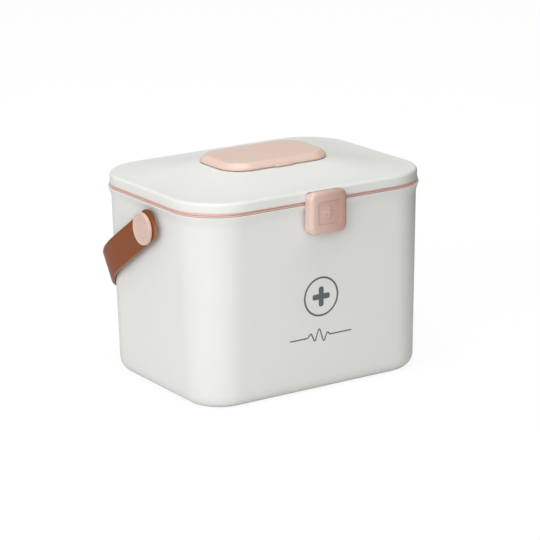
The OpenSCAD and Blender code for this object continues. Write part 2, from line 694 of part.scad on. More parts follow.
module pill_cover_pin() {
    x = ear_x0 + ear_w - 0.2;
    color(steel) rod(-x, x, flap_hinge_y, flap_hinge_z, flap_pin_r);
}

body_tub();
lid_shell();
seal_ring();
latch();
latch_pin();
hinge_pin_left();
hinge_pin_right();
strap_handle();
strap_cap_left();
strap_cap_right();
cap_screw_left();
cap_screw_right();
cap_washer_left();
cap_washer_right();
tray();
tray_divider_left();
tray_divider_right();
pill_cup();
pill_cover();
pill_cover_pin();
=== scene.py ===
"""Medicine box: tub, crowned lid, seal, latch, flap, strap, tray and cup, dressed round the CAD frame.

Shapes are numpy surfaces in millimetres. Most are stacked rounded rectangles: every row is one ring, and the
rows run up the outside, over the edge and down the inside, so that a shell is closed and faces outwards.
"""

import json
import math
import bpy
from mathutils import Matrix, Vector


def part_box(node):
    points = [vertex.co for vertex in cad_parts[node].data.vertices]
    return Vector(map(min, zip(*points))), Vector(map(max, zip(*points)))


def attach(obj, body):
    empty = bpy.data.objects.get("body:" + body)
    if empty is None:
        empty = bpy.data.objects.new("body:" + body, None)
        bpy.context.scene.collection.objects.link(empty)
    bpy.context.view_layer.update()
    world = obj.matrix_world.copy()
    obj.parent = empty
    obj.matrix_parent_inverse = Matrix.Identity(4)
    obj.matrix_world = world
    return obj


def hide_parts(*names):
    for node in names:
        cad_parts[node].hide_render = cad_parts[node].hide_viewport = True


bl_info = {
    "name": "Medicine Box",
    "version": (1, 0, 0),
    "blender": (4, 5, 0),
    "location": "View3D > Sidebar > Medicine Box",
    "description": "Builds the moulded pieces of a medicine box, their finishes, and a plain studio",
    "category": "Object",
}

from types import SimpleNamespace

import bpy
import bmesh
import numpy as np
from bpy.props import FloatProperty, FloatVectorProperty, PointerProperty
from bpy.types import Operator, Panel, PropertyGroup
from mathutils import Matrix, Vector

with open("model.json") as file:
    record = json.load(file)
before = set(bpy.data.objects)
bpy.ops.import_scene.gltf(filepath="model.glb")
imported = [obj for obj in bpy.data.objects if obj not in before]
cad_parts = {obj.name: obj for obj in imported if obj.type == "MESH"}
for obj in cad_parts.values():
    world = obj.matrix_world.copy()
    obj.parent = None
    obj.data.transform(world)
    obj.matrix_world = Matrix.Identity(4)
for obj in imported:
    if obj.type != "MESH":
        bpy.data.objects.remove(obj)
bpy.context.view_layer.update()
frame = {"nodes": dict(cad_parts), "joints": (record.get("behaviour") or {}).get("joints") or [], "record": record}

MM = 0.001
BODY_OF = {node: body for body, nodes in frame["record"]["behaviour"]["bodies"].items() for node in nodes}
JOINT_AT = {joint["name"]: [v / MM for v in joint.get("pos_m", (0, 0, 0))] for joint in frame["joints"]}


def node_box(node):
    """Lowest and highest corner of a CAD node, in millimetres."""
    return [np.array(corner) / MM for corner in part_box(node)]


_, TUB_HIGH = node_box("body_tub")
SEAL_LOW, SEAL_HIGH = node_box("seal_ring")
LID_LOW, LID_HIGH = node_box("lid_shell")
LATCH_LOW, LATCH_HIGH = node_box("latch")
_, STRAP_HIGH = node_box("strap_handle")
CAP_LOW, CAP_HIGH = node_box("strap_cap_right")
TRAY_LOW, TRAY_HIGH = node_box("tray")
DIVIDER_LOW, DIVIDER_HIGH = node_box("tray_divider_right")
CUP_LOW, _ = node_box("pill_cup")
FLAP_LOW, FLAP_HIGH = node_box("pill_cover")

_, HINGE_Y, HINGE_Z = JOINT_AT["lid_hinge"]
_, LATCH_Y, LATCH_Z = JOINT_AT["latch_hinge"]
_, FLAP_HINGE_Y, FLAP_HINGE_Z = JOINT_AT["pill_cover_hinge"]
_, PIVOT_Y, PIVOT_Z = JOINT_AT["strap_pivot"]

# How far the rim and the lid's edge, across and deep, and each end of the flap reach past the solids
RIM_SPREAD = np.array((0.9, 0.5))
FLAP_SPREAD = 2.5
# How far the seal lies inside the rim: the solid, and the piece that stands for it
SEAL_SOLID_IN = 0.8
SEAL_IN = 1.4
RIM_W, RIM_D = SEAL_HIGH[:2] - SEAL_LOW[:2] + 2 * (SEAL_SOLID_IN + RIM_SPREAD)


# Sizes and colours

def length(name, description, millimetres):
    """A length property whose default is given in millimetres."""
    return FloatProperty(name=name, description=description, default=millimetres * MM, min=0, unit="LENGTH",
                         precision=4)


def linear(code):
    """An sRGB hex value as linear red, green and blue."""
    parts = [int(code[i:i + 2], 16) / 255 for i in (0, 2, 4)]
    return [c / 12.92 if c <= 0.04045 else ((c + 0.055) / 1.055) ** 2.4 for c in parts]


def colour(name, description, code):
    """A colour property whose default is given as an sRGB hex value."""
    return FloatVectorProperty(name=name, description=description, default=linear(code), size=3, min=0, max=1,
                               subtype="COLOR")


def sizes(piece):
    """The lengths of a piece's property group in millimetres, by name."""
    group = getattr(bpy.context.scene, "medicine_box_" + piece)
    return SimpleNamespace(**{name: getattr(group, name) / MM for name in type(group).__annotations__})


def paint(name):
    """A colour of the finishes, as linear red, green and blue."""
    return getattr(bpy.context.scene.medicine_box_finishes, name)


class TubSizes(PropertyGroup):
    """Sizes of the tub"""
    rim_w: length("Rim width", "Width of the tub at its rim", RIM_W)
    rim_d: length("Rim depth", "Depth of the tub at its rim", RIM_D)
    rim_h: length("Rim height", "Height of the rim above the base", SEAL_LOW[2] - 0.3)
    rim_r: length("Corner radius", "Radius of the rim's corners", 48.3)
    collar_out: length("Collar reach", "How far the collar flares out", 3.4)
    collar_h: length("Collar height", "Height of the flaring collar", 11)
    base_in: length("Base inset", "How far the base lies inside the rim", 7.5)
    base_edge_r: length("Base rounding", "Rounding round the base", 13)
    wall: length("Wall", "Thickness of the wall and floor", 2.2)
    ledge_out: length("Ledge reach", "Reach of the ledges that carry the tray", 11.5)


class LidSizes(PropertyGroup):
    """Sizes of the lid and its seal"""
    width: length("Width", "Width of the lid", LID_HIGH[0] - LID_LOW[0] + 2 * RIM_SPREAD[0])
    depth: length("Depth", "Depth of the lid", RIM_D)
    corner_r: length("Corner radius", "Radius of the lid's corners", 50.6)
    foot_z: length("Underside", "Height of the lid's edge above the base", SEAL_HIGH[2] + 0.05)
    edge_h: length("Edge height", "Height of the lid's edge", 9.4)
    edge_r: length("Edge rounding", "Rounding of the lid's top edge", 3)
    crown_h: length("Crown rise", "Rise of the crown up to the flap", FLAP_LOW[2] - SEAL_HIGH[2] - 10.05)
    wall: length("Wall", "Thickness of the lid", 2.4)


class LatchSizes(PropertyGroup):
    """Sizes of the latch"""
    width: length("Width", "Width of the latch", LATCH_HIGH[0] - LATCH_LOW[0])
    height: length("Height", "Height of the latch", LATCH_HIGH[2] - LATCH_LOW[2])
    corner_r: length("Corner radius", "Radius of the corners, seen from the front", 7)
    edge_r: length("Edge rounding", "Rounding of the front edges", 4)
    wall: length("Wall", "Thickness of the front", 2.2)
    panel_w: length("Panel width", "Width of the recessed panel", 24.5)
    panel_h: length("Panel height", "Height of the recessed panel", 22)
    panel_in: length("Panel depth", "Depth of the recessed panel", 1.4)


class StrapSizes(PropertyGroup):
    """Sizes of the strap and its caps"""
    width: length("Width", "Width of the strap", 30.4)
    thick: length("Thickness", "Thickness of the strap", 3.6)
    bend_r: length("Bend radius", "Outer radius of the two bends", 102)
    edge_r: length("Edge rounding", "Rounding of the strap's edges", 1.2)
    end_r: length("End corners", "Radius of the corners at the strap's ends", 11.4)
    cap_r: length("Cap radius", "Radius of the round caps", (CAP_HIGH[2] - CAP_LOW[2]) / 2)
    cap_t: length("Cap thickness", "Thickness of the round caps", 3.4)
    stem_r: length("Stem radius", "Radius of the stem that the strap turns on", 5)


class TraySizes(PropertyGroup):
    """Sizes of the tray, the pill cup and the flap"""
    tray_wall: length("Tray wall", "Thickness of the tray", 1.8)
    tray_r: length("Tray corner", "Radius of the tray's corners", 36.1)
    scoop_r: length("Scoop radius", "Radius of the finger scoops", 14)
    cup_wall: length("Cup wall", "Thickness of the pill cup", 1.6)
    flap_w: length("Flap width", "Width of the pill flap", FLAP_HIGH[0] - FLAP_LOW[0])
    flap_d: length("Flap depth", "Depth of the pill flap", 74)
    flap_r: length("Flap corner", "Radius of the flap's corners", 24)
    flap_wall: length("Flap wall", "Thickness of the flap", 1.8)


class Finishes(PropertyGroup):
    """Colours of the finishes"""
    white: colour("White", "Tub and lid", "E9E9E5")
    blush: colour("Blush", "Flap", "E8CABA")
    cap: colour("Cap", "Caps", "DEBEB1")
    rose: colour("Rose", "Latch", "BF9485")
    # Paler rose painted on the latch's left side: painted light, lighter where the lamps fall
    rose_painted_lit: colour("Rose at the gate", "Latch near its gate", "E3C4B8")
    seal: colour("Seal", "Seal", "EAC5B9")
    brown: colour("Brown", "Strap", "8F4B1F")
    core: colour("Core", "Core that shows along the strap's lower edge", "96705C")
    frost: colour("Frost", "Tray, dividers and cup", "EEF1F1")
    steel: colour("Steel", "Pins, screws and washers", "C4C6C9")
    ink: colour("Ink", "Print on the front", "5B5F63")


# Curves and surfaces

def rounded_path(corners, radii, closed=False, steps=6):
    """A polyline whose corners are arcs: each arc has its radius, lies r / tan(half the corner's angle) back
    from the corner on both sides, and is filled in by turning one spoke to the other at an even rate."""
    corners = np.asarray(corners, float)
    before, after = np.roll(corners, 1, 0), np.roll(corners, -1, 0)
    if not closed:
        radii = [0, *radii, 0]
    made = []
    for corner, back, ahead, radius in zip(corners, before, after, radii):
        if radius <= 0:
            made.append(corner[None])
            continue
        a = (back - corner) / np.linalg.norm(back - corner)
        b = (ahead - corner) / np.linalg.norm(ahead - corner)
        half = 0.5 * np.arccos(np.clip(a @ b, -1, 1))
        centre = corner + (a + b) / np.linalg.norm(a + b) * radius / np.sin(half)
        start, end = corner + a * radius / np.tan(half) - centre, corner + b * radius / np.tan(half) - centre
        turn = np.pi - 2 * half
        share = np.linspace(0, 1, steps + 1)[:, None]
        made.append(centre + (np.sin((1 - share) * turn) * start + np.sin(share * turn) * end) / np.sin(turn))
    points = np.concatenate(made)
    apart = np.linalg.norm(points - np.roll(points, 1, 0), axis=1) > 1e-4
    apart[0] = apart[0] or not closed
    return points[apart]


def ring_columns(corner_steps=24, long_steps=12, short_steps=12):
    """Columns of a rounded rectangle: the signs of the corner each belongs to, and the angle of its normal.
    Round a corner the angle turns, and along a side the signs run from one corner to the next."""
    signs = np.array([(1, 1), (-1, 1), (-1, -1), (1, -1)], float)
    sx, sy, angle = [], [], []
    for side in range(4):
        here, there = signs[side], signs[(side + 1) % 4]
        along = np.linspace(0, 1, (short_steps if side % 2 else long_steps) + 1)[1:-1]
        turn = 90 * (side + np.linspace(0, 1, corner_steps + 1))
        sx += [np.full(turn.size, here[0]), here[0] + (there[0] - here[0]) * along]
        sy += [np.full(turn.size, here[1]), here[1] + (there[1] - here[1]) * along]
        angle += [turn, np.full(along.size, 90 * (side + 1.0))]
    return np.concatenate(sx), np.concatenate(sy), np.radians(np.concatenate(angle))


def rings(table, columns=None, centre=(0, 0)):
    """Stacked rounded rectangles from rows of width, depth, radius and height:
    x = sx (w / 2 - r) + r cos a, y = sy (d / 2 - r) + r sin a."""
    sx, sy, a = columns or ring_columns()
    w, d, r, z = (np.asarray(table, float)[:, i, None] for i in range(4))
    r = np.maximum(r, 0)
    x = centre[0] + sx * (w / 2 - r) + r * np.cos(a)
    y = centre[1] + sy * (d / 2 - r) + r * np.sin(a)
    return np.stack([x, y, np.broadcast_to(z, x.shape)], -1)


def plain_table(w, d, r, z):
    """Rows of rounded rectangles given directly."""
    return np.stack(np.broadcast_arrays(*(np.atleast_1d(np.asarray(v, float)) for v in (w, d, r, z))), 1)


def inset_table(w, d, r, inset, z):
    """Rows of a rounded rectangle that an inset shrinks on every side."""
    return plain_table(w - 2 * inset, d - 2 * inset, r - inset, z)


def skin(grid, loop=False, shut=True):
    """Vertices and faces of a grid whose rows are closed rings: quads between the rows, and a flat face at
    each end, or none where an end shrinks to a line or a point, or the last row meets the first."""
    rows, columns = grid.shape[:2]
    index = np.arange(rows * columns).reshape(rows, columns)
    low = index if loop else index[:-1]
    high = np.roll(index, -1, 0) if loop else index[1:]
    faces = np.stack([low, np.roll(low, -1, 1), np.roll(high, -1, 1), high], -1).reshape(-1, 4).tolist()
    if shut and not loop:
        faces += [index[0, ::-1].tolist(), index[-1].tolist()]
    return grid.reshape(-1, 3), faces


def joined(shells):
    """Several shells as one."""
    points, faces, start = [], [], 0
    for shell_points, shell_faces in shells:
        points.append(shell_points)
        faces += [[start + i for i in face] for face in shell_faces]
        start += len(shell_points)
    return np.concatenate(points), faces


def moved(shell, matrix, offset=(0, 0, 0)):
    """A shell turned by a 3 by 3 matrix with no reflection, then moved."""
    return shell[0] @ np.asarray(matrix, float).T + np.asarray(offset, float), shell[1]


def spin_z(degrees):
    """Rotation about Z."""
    c, s = math.cos(math.radians(degrees)), math.sin(math.radians(degrees))
    return [[c, -s, 0], [s, c, 0], [0, 0, 1]]


def both_sides(x0, x1):
    """A stretch along X and its mirror image."""
    return (x0, x1), (-x1, -x0)


def circle(steps):
    """Cosines and sines of even steps round a circle."""
    a = np.linspace(0, 2 * np.pi, steps, endpoint=False)
    return np.cos(a), np.sin(a)


def normals(tangent):
    """Unit normals to the right of an outline's tangents."""
    return np.stack([tangent[:, 1], -tangent[:, 0]], 1) / np.linalg.norm(tangent, axis=1)[:, None]


def quarter(radius, steps=8):
    """A quarter round by its distances from the wall and from the floor: r (1 - sin a) and r (1 - cos a)."""
    a = np.radians(np.linspace(0, 90, steps))
    return radius * (1 - np.sin(a)), radius * (1 - np.cos(a))


def prism(outline, x0, x1, edge=0.3):
    """An outline of (y, z) points carried along X. Near each end it shrinks along its own normals by
    edge (1 - sin a) while it runs edge (1 - cos a), so that both ends have rounded edges."""
    outline = np.asarray(outline, float)
    ahead = np.roll(outline, -1, 0)
    if np.sum(outline[:, 0] * ahead[:, 1] - ahead[:, 0] * outline[:, 1]) < 0:
        outline = outline[::-1]
    normal = normals(np.roll(outline, -1, 0) - np.roll(outline, 1, 0))
    inset, run = quarter(edge, 4)
    inset, x = np.concatenate([inset, inset[::-1]]), np.concatenate([x0 + run, x1 - run[::-1]])
    flat = outline[None] - inset[:, None, None] * normal[None]
    return skin(np.concatenate([np.broadcast_to(x[:, None, None], flat.shape[:2] + (1,)), flat], 2))


def rib(corners, radii, x0, x1, edge=0.3, steps=6):
    """A prism of a closed outline of (y, z) corners, each rounded by its radius."""
    return prism(rounded_path(corners, radii, closed=True, steps=steps), x0, x1, edge)


def bar(x0, x1, y, z, radius, edge=0.3, steps=48):
    """A round bar along X with rounded ends."""
    cos, sin = circle(steps)
    return prism(np.stack([y + radius * cos, z + radius * sin], 1), x0, x1, edge)


def block(low, high, radius=0.4):
    """A block between two corners, its long edges rounded by radius."""
    (x0, y0, z0), (x1, y1, z1) = low, high
    return rib([(y0, z0), (y1, z0), (y1, z1), (y0, z1)], [radius] * 4, x0, x1, min(0.3, radius), 4)


def turned(profile, steps=96):
    """A profile of (radius, height) points turned about Z: x = r cos a, y = r sin a."""
    radius, height = np.asarray(profile, float).T[:, :, None]
    cos, sin = circle(steps)
    grid = np.stack([radius * cos, radius * sin, np.broadcast_to(height, (height.size, steps))], -1)
    return skin(grid, shut=False)


# Meshes and pieces

def placed(name, data):
    """A new object in the scene that holds the data."""
    made = bpy.data.objects.new(name, data)
    bpy.context.scene.collection.objects.link(made)
    return made


def as_object(name, shell, merge=(1e-6, 1e-7), edge_core_and_shade=None):
    """A mesh object from a shell in millimetres: doubles and slivers are merged within two distances in
    metres, which closes seams and poles. The edge values, one for each vertex, are read by the strap's finish: the
    paler core along the lower edge, painted shade along the upper one."""
    points, faces = shell
    mesh = bpy.data.meshes.new(name)
    mesh.from_pydata((points * MM).tolist(), [], faces)
    if edge_core_and_shade is not None:
        mesh.attributes.new("strap_edge", "FLOAT", "POINT").data.foreach_set("value", edge_core_and_shade.astype(np.float32))
    work = bmesh.new()
    work.from_mesh(mesh)
    bmesh.ops.remove_doubles(work, verts=work.verts, dist=merge[0])
    bmesh.ops.dissolve_degenerate(work, edges=work.edges, dist=merge[1])
    work.to_mesh(mesh)
    work.free()
    return placed(name, mesh)


def carve(made, steps):
    """Adds and cuts shells in order with exact booleans, and leaves the result as the object's plain mesh."""
    tools = []
    for operation, shells in steps:
        tool = as_object(made.name + "_tool", joined(shells))
        modifier = made.modifiers.new(operation, "BOOLEAN")
        modifier.operation = operation
        modifier.solver = "EXACT"
        modifier.object = tool
        tools.append(tool)
    bpy.context.view_layer.update()
    result = bpy.data.meshes.new_from_object(made.evaluated_get(bpy.context.evaluated_depsgraph_get()))
    made.modifiers.clear()
    made.data = result
    for tool in tools:
        bpy.data.objects.remove(tool)


def stand_for(made, node, finish, crease=32):
    """The piece, smooth where faces meet below the crease angle, takes a node's place, body and slot."""
    made.data.shade_smooth()
    made.data.set_sharp_from_angle(angle=math.radians(crease))
    made.data.materials.clear()
    made.data.materials.append(finish)
    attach(made, BODY_OF[node])
    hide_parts(node)


# Finishes

def add(tree, kind, inputs=None, **settings):
    """Adds one node: its properties, and for each input a value, an output or a node (its first output)."""
    node = tree.nodes.new("ShaderNode" + kind)
    for name, value in settings.items():
        setattr(node, name, value)
    for name, value in (inputs or {}).items():
        if isinstance(value, bpy.types.Node):
            value = value.outputs[0]
        if isinstance(value, bpy.types.NodeSocket):
            tree.links.new(value, node.inputs[name])
        else:
            node.inputs[name].default_value = value
    return node


def new_finish(name):
    """An empty material, its node tree, and the object coordinates that its patterns read."""
    material = bpy.data.materials.new(name)
    material.use_nodes = True
    tree = material.node_tree
    tree.nodes.clear()
    return material, tree, add(tree, "TexCoord").outputs["Object"]


def surfaced(material, inputs, kind="BsdfPrincipled"):
    """The material with its shader on its output."""
    add(material.node_tree, "OutputMaterial", {"Surface": add(material.node_tree, kind, inputs)})
    return material


def gloss_and_relief(tree, broad, fine, rough, strength, relief):
    """Shader inputs: a roughness that a broad pattern moves between two values, and a normal that a fine
    pattern raises by relief millimetres."""
    gloss = add(tree, "MapRange", {"Value": broad, "From Min": 0.3, "From Max": 0.7, "To Min": rough[0],
                                   "To Max": rough[1]})
    bump = add(tree, "Bump", {"Height": fine, "Strength": strength, "Distance": relief * MM})
    return {"Roughness": gloss, "Normal": bump}


def satin_moulded(name, rgb, rough=(0.40, 0.50), coat=0.0, painted_lit_side=None):
    """Injection-moulded plastic with a spark-eroded satin texture: a fine even grain that softens highlights,
    broad flow marks that shift the roughness a little, and a barely uneven colour. A painted lit side gives the
    reach in millimetres and a paler colour painted towards the left side: painted light, lighter where the lamps
    fall."""
    material, tree, place = new_finish(name)
    flow = add(tree, "TexNoise", {"Vector": place, "Scale": 1 / (38 * MM), "Detail": 3.0})
    grain = add(tree, "TexNoise", {"Vector": place, "Scale": 1 / (0.7 * MM), "Detail": 2.0})
    deep = [c * 0.965 for c in rgb]
    shade = add(tree, "Mix", {"Factor": flow, 6: (*deep, 1), 7: (*rgb, 1)}, data_type="RGBA")
    # Painted light: the colour turns paler towards the left side and stays the base colour towards the right
    if painted_lit_side:
        reach, painted_lit_colour = painted_lit_side
        across = add(tree, "SeparateXYZ", {"Vector": place})
        painted_light_share = add(tree, "MapRange", {"Value": across, "From Min": reach * MM, "From Max": -reach * MM})
        shade = add(tree, "Mix", {"Factor": painted_light_share, 6: shade.outputs[2], 7: (*painted_lit_colour, 1)}, data_type="RGBA")
    return surfaced(material, {
        "Base Color": shade.outputs[2], "IOR": 1.49, "Coat Weight": coat, "Coat Roughness": 0.22,
        **gloss_and_relief(tree, flow, grain, rough, 0.35, 0.012)})


def silicone_rubber(name, rgb):
    """Compression-moulded silicone: matt, slightly soft-looking, with a dusty sheen at grazing angles."""
    material, tree, place = new_finish(name)
    dust = add(tree, "TexNoise", {"Vector": place, "Scale": 1 / (1.5 * MM), "Detail": 4.0})
    deep = [c * 0.94 for c in rgb]
    shade = add(tree, "Mix", {"Factor": dust, 6: (*deep, 1), 7: (*rgb, 1)}, data_type="RGBA")
    bump = add(tree, "Bump", {"Height": dust, "Strength": 0.3, "Distance": 0.02 * MM})
    return surfaced(material, {
        "Base Color": shade.outputs[2], "Roughness": 0.62, "IOR": 1.41, "Sheen Weight": 0.15,
        "Sheen Roughness": 0.5, "Normal": bump})


def strap_leather(name, rgb, core):
    """Smooth moulded leatherette over a soft core: a tight pebble grain under a satin dressing, deeper brown
    where the dye has settled, painted shade that darkens the upper edge, and the paler core along the lower edge.
    The edge attribute is positive along the lower edge and negative along the upper one."""
    material, tree, place = new_finish(name)
    edge = add(tree, "Attribute", attribute_name="strap_edge").outputs["Fac"]
    pebble = add(tree, "TexVoronoi", {"Vector": place, "Scale": 1 / (1.1 * MM)}, feature="SMOOTH_F1")
    dye = add(tree, "TexNoise", {"Vector": place, "Scale": 1 / (22 * MM), "Detail": 4.0})
    deep, painted_shade_brown = [c * 0.8 for c in rgb], [c * 0.5 for c in rgb]
    shade = add(tree, "Mix", {"Factor": dye, 6: (*deep, 1), 7: (*rgb, 1)}, data_type="RGBA")
    # Painted shade: the upper edge is darkened towards half the brown
    upper_shade_share = add(tree, "Math", {0: edge, 1: -1.0}, operation="MULTIPLY", use_clamp=True)
    with_painted_shade = add(tree, "Mix", {"Factor": upper_shade_share, 6: shade.outputs[2], 7: (*painted_shade_brown, 1)}, data_type="RGBA")
    edge_core_and_shade = add(tree, "Mix", {"Factor": edge, 6: with_painted_shade.outputs[2], 7: (*core, 1)}, data_type="RGBA")
    return surfaced(material, {
        "Base Color": edge_core_and_shade.outputs[2], "Specular IOR Level": 0.25,
        **gloss_and_relief(tree, dye, pebble, (0.44, 0.56), 0.25, 0.05)})


def frosted_polypropylene(piece):
    """Natural polypropylene moulded thin in a blasted tool: milky, and it scatters what lies behind."""
    material, tree, place = new_finish("frosted_polypropylene_" + piece)
    frost = add(tree, "TexNoise", {"Vector": place, "Scale": 1 / (0.8 * MM), "Detail": 3.0})
    haze = add(tree, "TexNoise", {"Vector": place, "Scale": 1 / (30 * MM), "Detail": 2.0})
    return surfaced(material, {
        "Base Color": (*paint("frost"), 1), "IOR": 1.49, "Transmission Weight": 0.45,
        **gloss_and_relief(tree, haze, frost, (0.36, 0.50), 0.3, 0.015)})


def drawn_steel(name, rgb):
    """Steel wire drawn through a die and zinc plated: fine lines along its length and a cool, soft gleam."""
    material, tree, place = new_finish(name)
    along = add(tree, "Mapping", {"Vector": place, "Scale": (0.03, 1, 1)})
    lines = add(tree, "TexNoise", {"Vector": along, "Scale": 1 / (0.25 * MM), "Detail": 3.0})
    return surfaced(material, {
        "Base Color": (*rgb, 1), "Metallic": 1.0,
        **gloss_and_relief(tree, lines, lines, (0.22, 0.38), 0.2, 0.01)})


def printed_ink(name, rgb):
    """Screen-printed ink: a thin flat film, a little glossier than the plastic, and uneven in cover."""
    material, tree, place = new_finish(name)
    cover = add(tree, "TexNoise", {"Vector": place, "Scale": 1 / (0.9 * MM), "Detail": 3.0})
    thin = [min(1, c * 1.25) for c in rgb]
    shade = add(tree, "Mix", {"Factor": cover, 6: (*rgb, 1), 7: (*thin, 1)}, data_type="RGBA")
    return surfaced(material, {"Base Color": shade.outputs[2], "Roughness": 0.42, "IOR": 1.5})


# Tub

# Rounding and thickness of the rim
RIM_EDGE = 0.4
COLLAR_WALL = 3.0
# How much faster the corners tighten than the walls lean in
CORNER_TAPER = 1.45
# Places of the ledges in front and behind, and the height of all ledges' tops
LEDGE_X = 70
LEDGE_Z = 130.0
LEDGE_W = 8
HINGE_LUG_W = 6
HINGE_LUGS_X = (-76.3, -49.7, 43.7, 70.3)
# Radius of the pivot bosses, and how far they end inside the strap's outer face
BOSS_R = 9.5
BOSS_END = 3.9
# Half the length of the latch's catch
CATCH_X = 12


def tub_table(s, z, inset, edge=0.0):
    """Rows of the tub: inset leans with the walls and tightens the corners faster, edge only rounds."""
    inset = np.asarray(inset, float)
    all_in = 2 * (inset + edge)
    return plain_table(s.rim_w - all_in, s.rim_d - all_in, s.rim_r - CORNER_TAPER * inset - edge, z)


def wall_in(s, z):
    """Inset of the tub's outer wall at a height under the collar: a straight draft from base to collar."""
    return s.base_in + (s.collar_out - s.base_in) * z / (s.rim_h - s.collar_h)


def tub_shell(s):
    """Foot rounding, drafted wall, collar flared as a concave quarter wave, rounded rim, inside, floor."""
    collar_z = s.rim_h - s.collar_h
    foot, foot_z = quarter(s.base_edge_r, 16)
    wall_z = np.linspace(s.base_edge_r, collar_z, 16)[1:-1]
    t = np.linspace(0, 1, 28)[:-1]
    rim = rounded_path([
        (0, s.rim_h - RIM_EDGE), (0, s.rim_h), (COLLAR_WALL, s.rim_h), (COLLAR_WALL, collar_z + 7.4),
        (s.collar_out + s.wall, collar_z + 3.5)], [RIM_EDGE, RIM_EDGE, 1.0])
    inner_r = s.base_edge_r - 2
    inner_z, inner = quarter(inner_r)
    down = np.linspace(0, 1, 8)[1:-1]
    return skin(rings(np.vstack([
        tub_table(s, foot_z, wall_in(s, foot_z), foot),
        tub_table(s, wall_z, wall_in(s, wall_z)),
        tub_table(s, collar_z + (s.collar_h - RIM_EDGE) * t, s.collar_out * np.cos(np.pi / 2 * t) ** 1.2),
        tub_table(s, rim[:, 1], rim[:, 0]),
        tub_table(s, np.linspace(collar_z, s.wall + inner_r, 8)[1:-1],
                  s.collar_out + s.wall + (s.base_in - s.collar_out) * down),
        tub_table(s, s.wall + inner_z, s.base_in + s.wall, inner)])))


def hinge_lug(s, x0):
    """A lug that rises from the collar to the barrel of the lid's hinge."""
    rim_y, r = s.rim_d / 2, TUB_HIGH[2] - HINGE_Z
    root_y, root_z = rim_y - s.collar_out - 0.8, s.rim_h - s.collar_h
    top_z = s.rim_h - 0.6
    return rib([
        (root_y, root_z - 5), (HINGE_Y + r, HINGE_Z - 2.6), (HINGE_Y + r, HINGE_Z + r),
        (HINGE_Y - r, HINGE_Z + r), (HINGE_Y - r, top_z), (rim_y - COLLAR_WALL + 0.8, top_z),
        (root_y, root_z)], [0.6, 3, 3.9, 3.9, 0.6, 0.6, 0.6], x0, x0 + HINGE_LUG_W, 0.5)


def tray_ledge(s, reach):
    """A gusseted ledge on the wall at reach, its top level with the underside of the tray."""
    tip, root = reach - s.ledge_out, reach + 1
    return rib([(tip, LEDGE_Z - 2), (root, LEDGE_Z - 2 * s.ledge_out), (root, LEDGE_Z), (tip, LEDGE_Z)],
               [0.7] * 4, -LEDGE_W / 2, LEDGE_W / 2, 0.6)


def catch_rib(s):
    """The rib on the front wall that the latch hooks under."""
    catch_y, catch_z = LATCH_Y + 4.5, LATCH_LOW[2] + 4.5
    front = -s.rim_d / 2 + 0.8
    return rib([(front + wall_in(s, catch_z), catch_z), (catch_y, catch_z), (catch_y, catch_z + 1.6),
                (front + wall_in(s, catch_z + 5), catch_z + 5)], [0.3] * 4, -CATCH_X, CATCH_X, 0.25)


class MEDBOX_OT_tub(Operator):
    """Moulds the tub: drafted shell, hinge lugs, pivot bosses, tray ledges and the latch's catch"""
    bl_idname = "medicine_box.tub"
    bl_label = "Tub"

    def execute(self, context):
        s = sizes("tub")
        tub = as_object("tub_moulding", tub_shell(s))
        extras = [hinge_lug(s, x) for x in HINGE_LUGS_X]
        extras += [bar(*ends, PIVOT_Y, PIVOT_Z, BOSS_R, 0.4)
                   for ends in both_sides(CAP_LOW[0], STRAP_HIGH[0] - BOSS_END)]
        low_in = wall_in(s, LEDGE_Z) + s.wall
        extras += [moved(tray_ledge(s, s.rim_w / 2 - low_in), spin_z(angle)) for angle in (90, -90)]
        extras += [moved(tray_ledge(s, s.rim_d / 2 - low_in), spin_z(angle), (x, 0, 0))
                   for x in (-LEDGE_X, LEDGE_X) for angle in (0, 180)]
        carve(tub, [("UNION", extras + [catch_rib(s)])])
        stand_for(tub, "body_tub", satin_moulded("satin_polypropylene_tub", paint("white")))
        return {"FINISHED"}


# Lid and seal

# How far the lid's lip lies inside the rim, its thickness, and that of the cup's flange
LIP_IN = 3.4
LIP_T = 2.0
FLANGE_T = 1.6
# Middle and width of the hinge knuckles, and where the right lug for the latch's pin begins and ends
KNUCKLE_X = 60
KNUCKLE_W = 20
LATCH_LUG_X = (14.2, 16.4)
# Room round the latch's pin for its top edge to turn in
LATCH_SWING = 6.25
# Depth of the latch's notch behind the solid's edge, half the height of the seal's groove and its depth
NOTCH_IN = 1.2
GROOVE_H = 0.5
GROOVE_IN = 1.6
# Half the length and the back of the cup's tongue under the flap's hinge, and the room round it
TONGUE_X = 26
TONGUE_Y = FLAP_HINGE_Y + 2.6
TONGUE_GAP = 0.3


def crown_table(s, flap, t, drop=0.0):
    """Rows of the crown, from the edge at 0 to the flap's foot at 1: the height runs as t to the 1.6."""
    w0, d0, r0 = s.width - 2 * s.edge_r, s.depth - 2 * s.edge_r, s.corner_r - s.edge_r
    w1, d1, r1 = flap.flap_w + 2 * FLAP_SPREAD + 1.4, flap.flap_d + 1.4, flap.flap_r + 0.7
    return plain_table(w0 + (w1 - w0) * t, d0 + (d1 - d0) * t, r0 + (r1 - r0) * t,
                       s.foot_z + s.edge_h + s.crown_h * t ** 1.6 - drop)


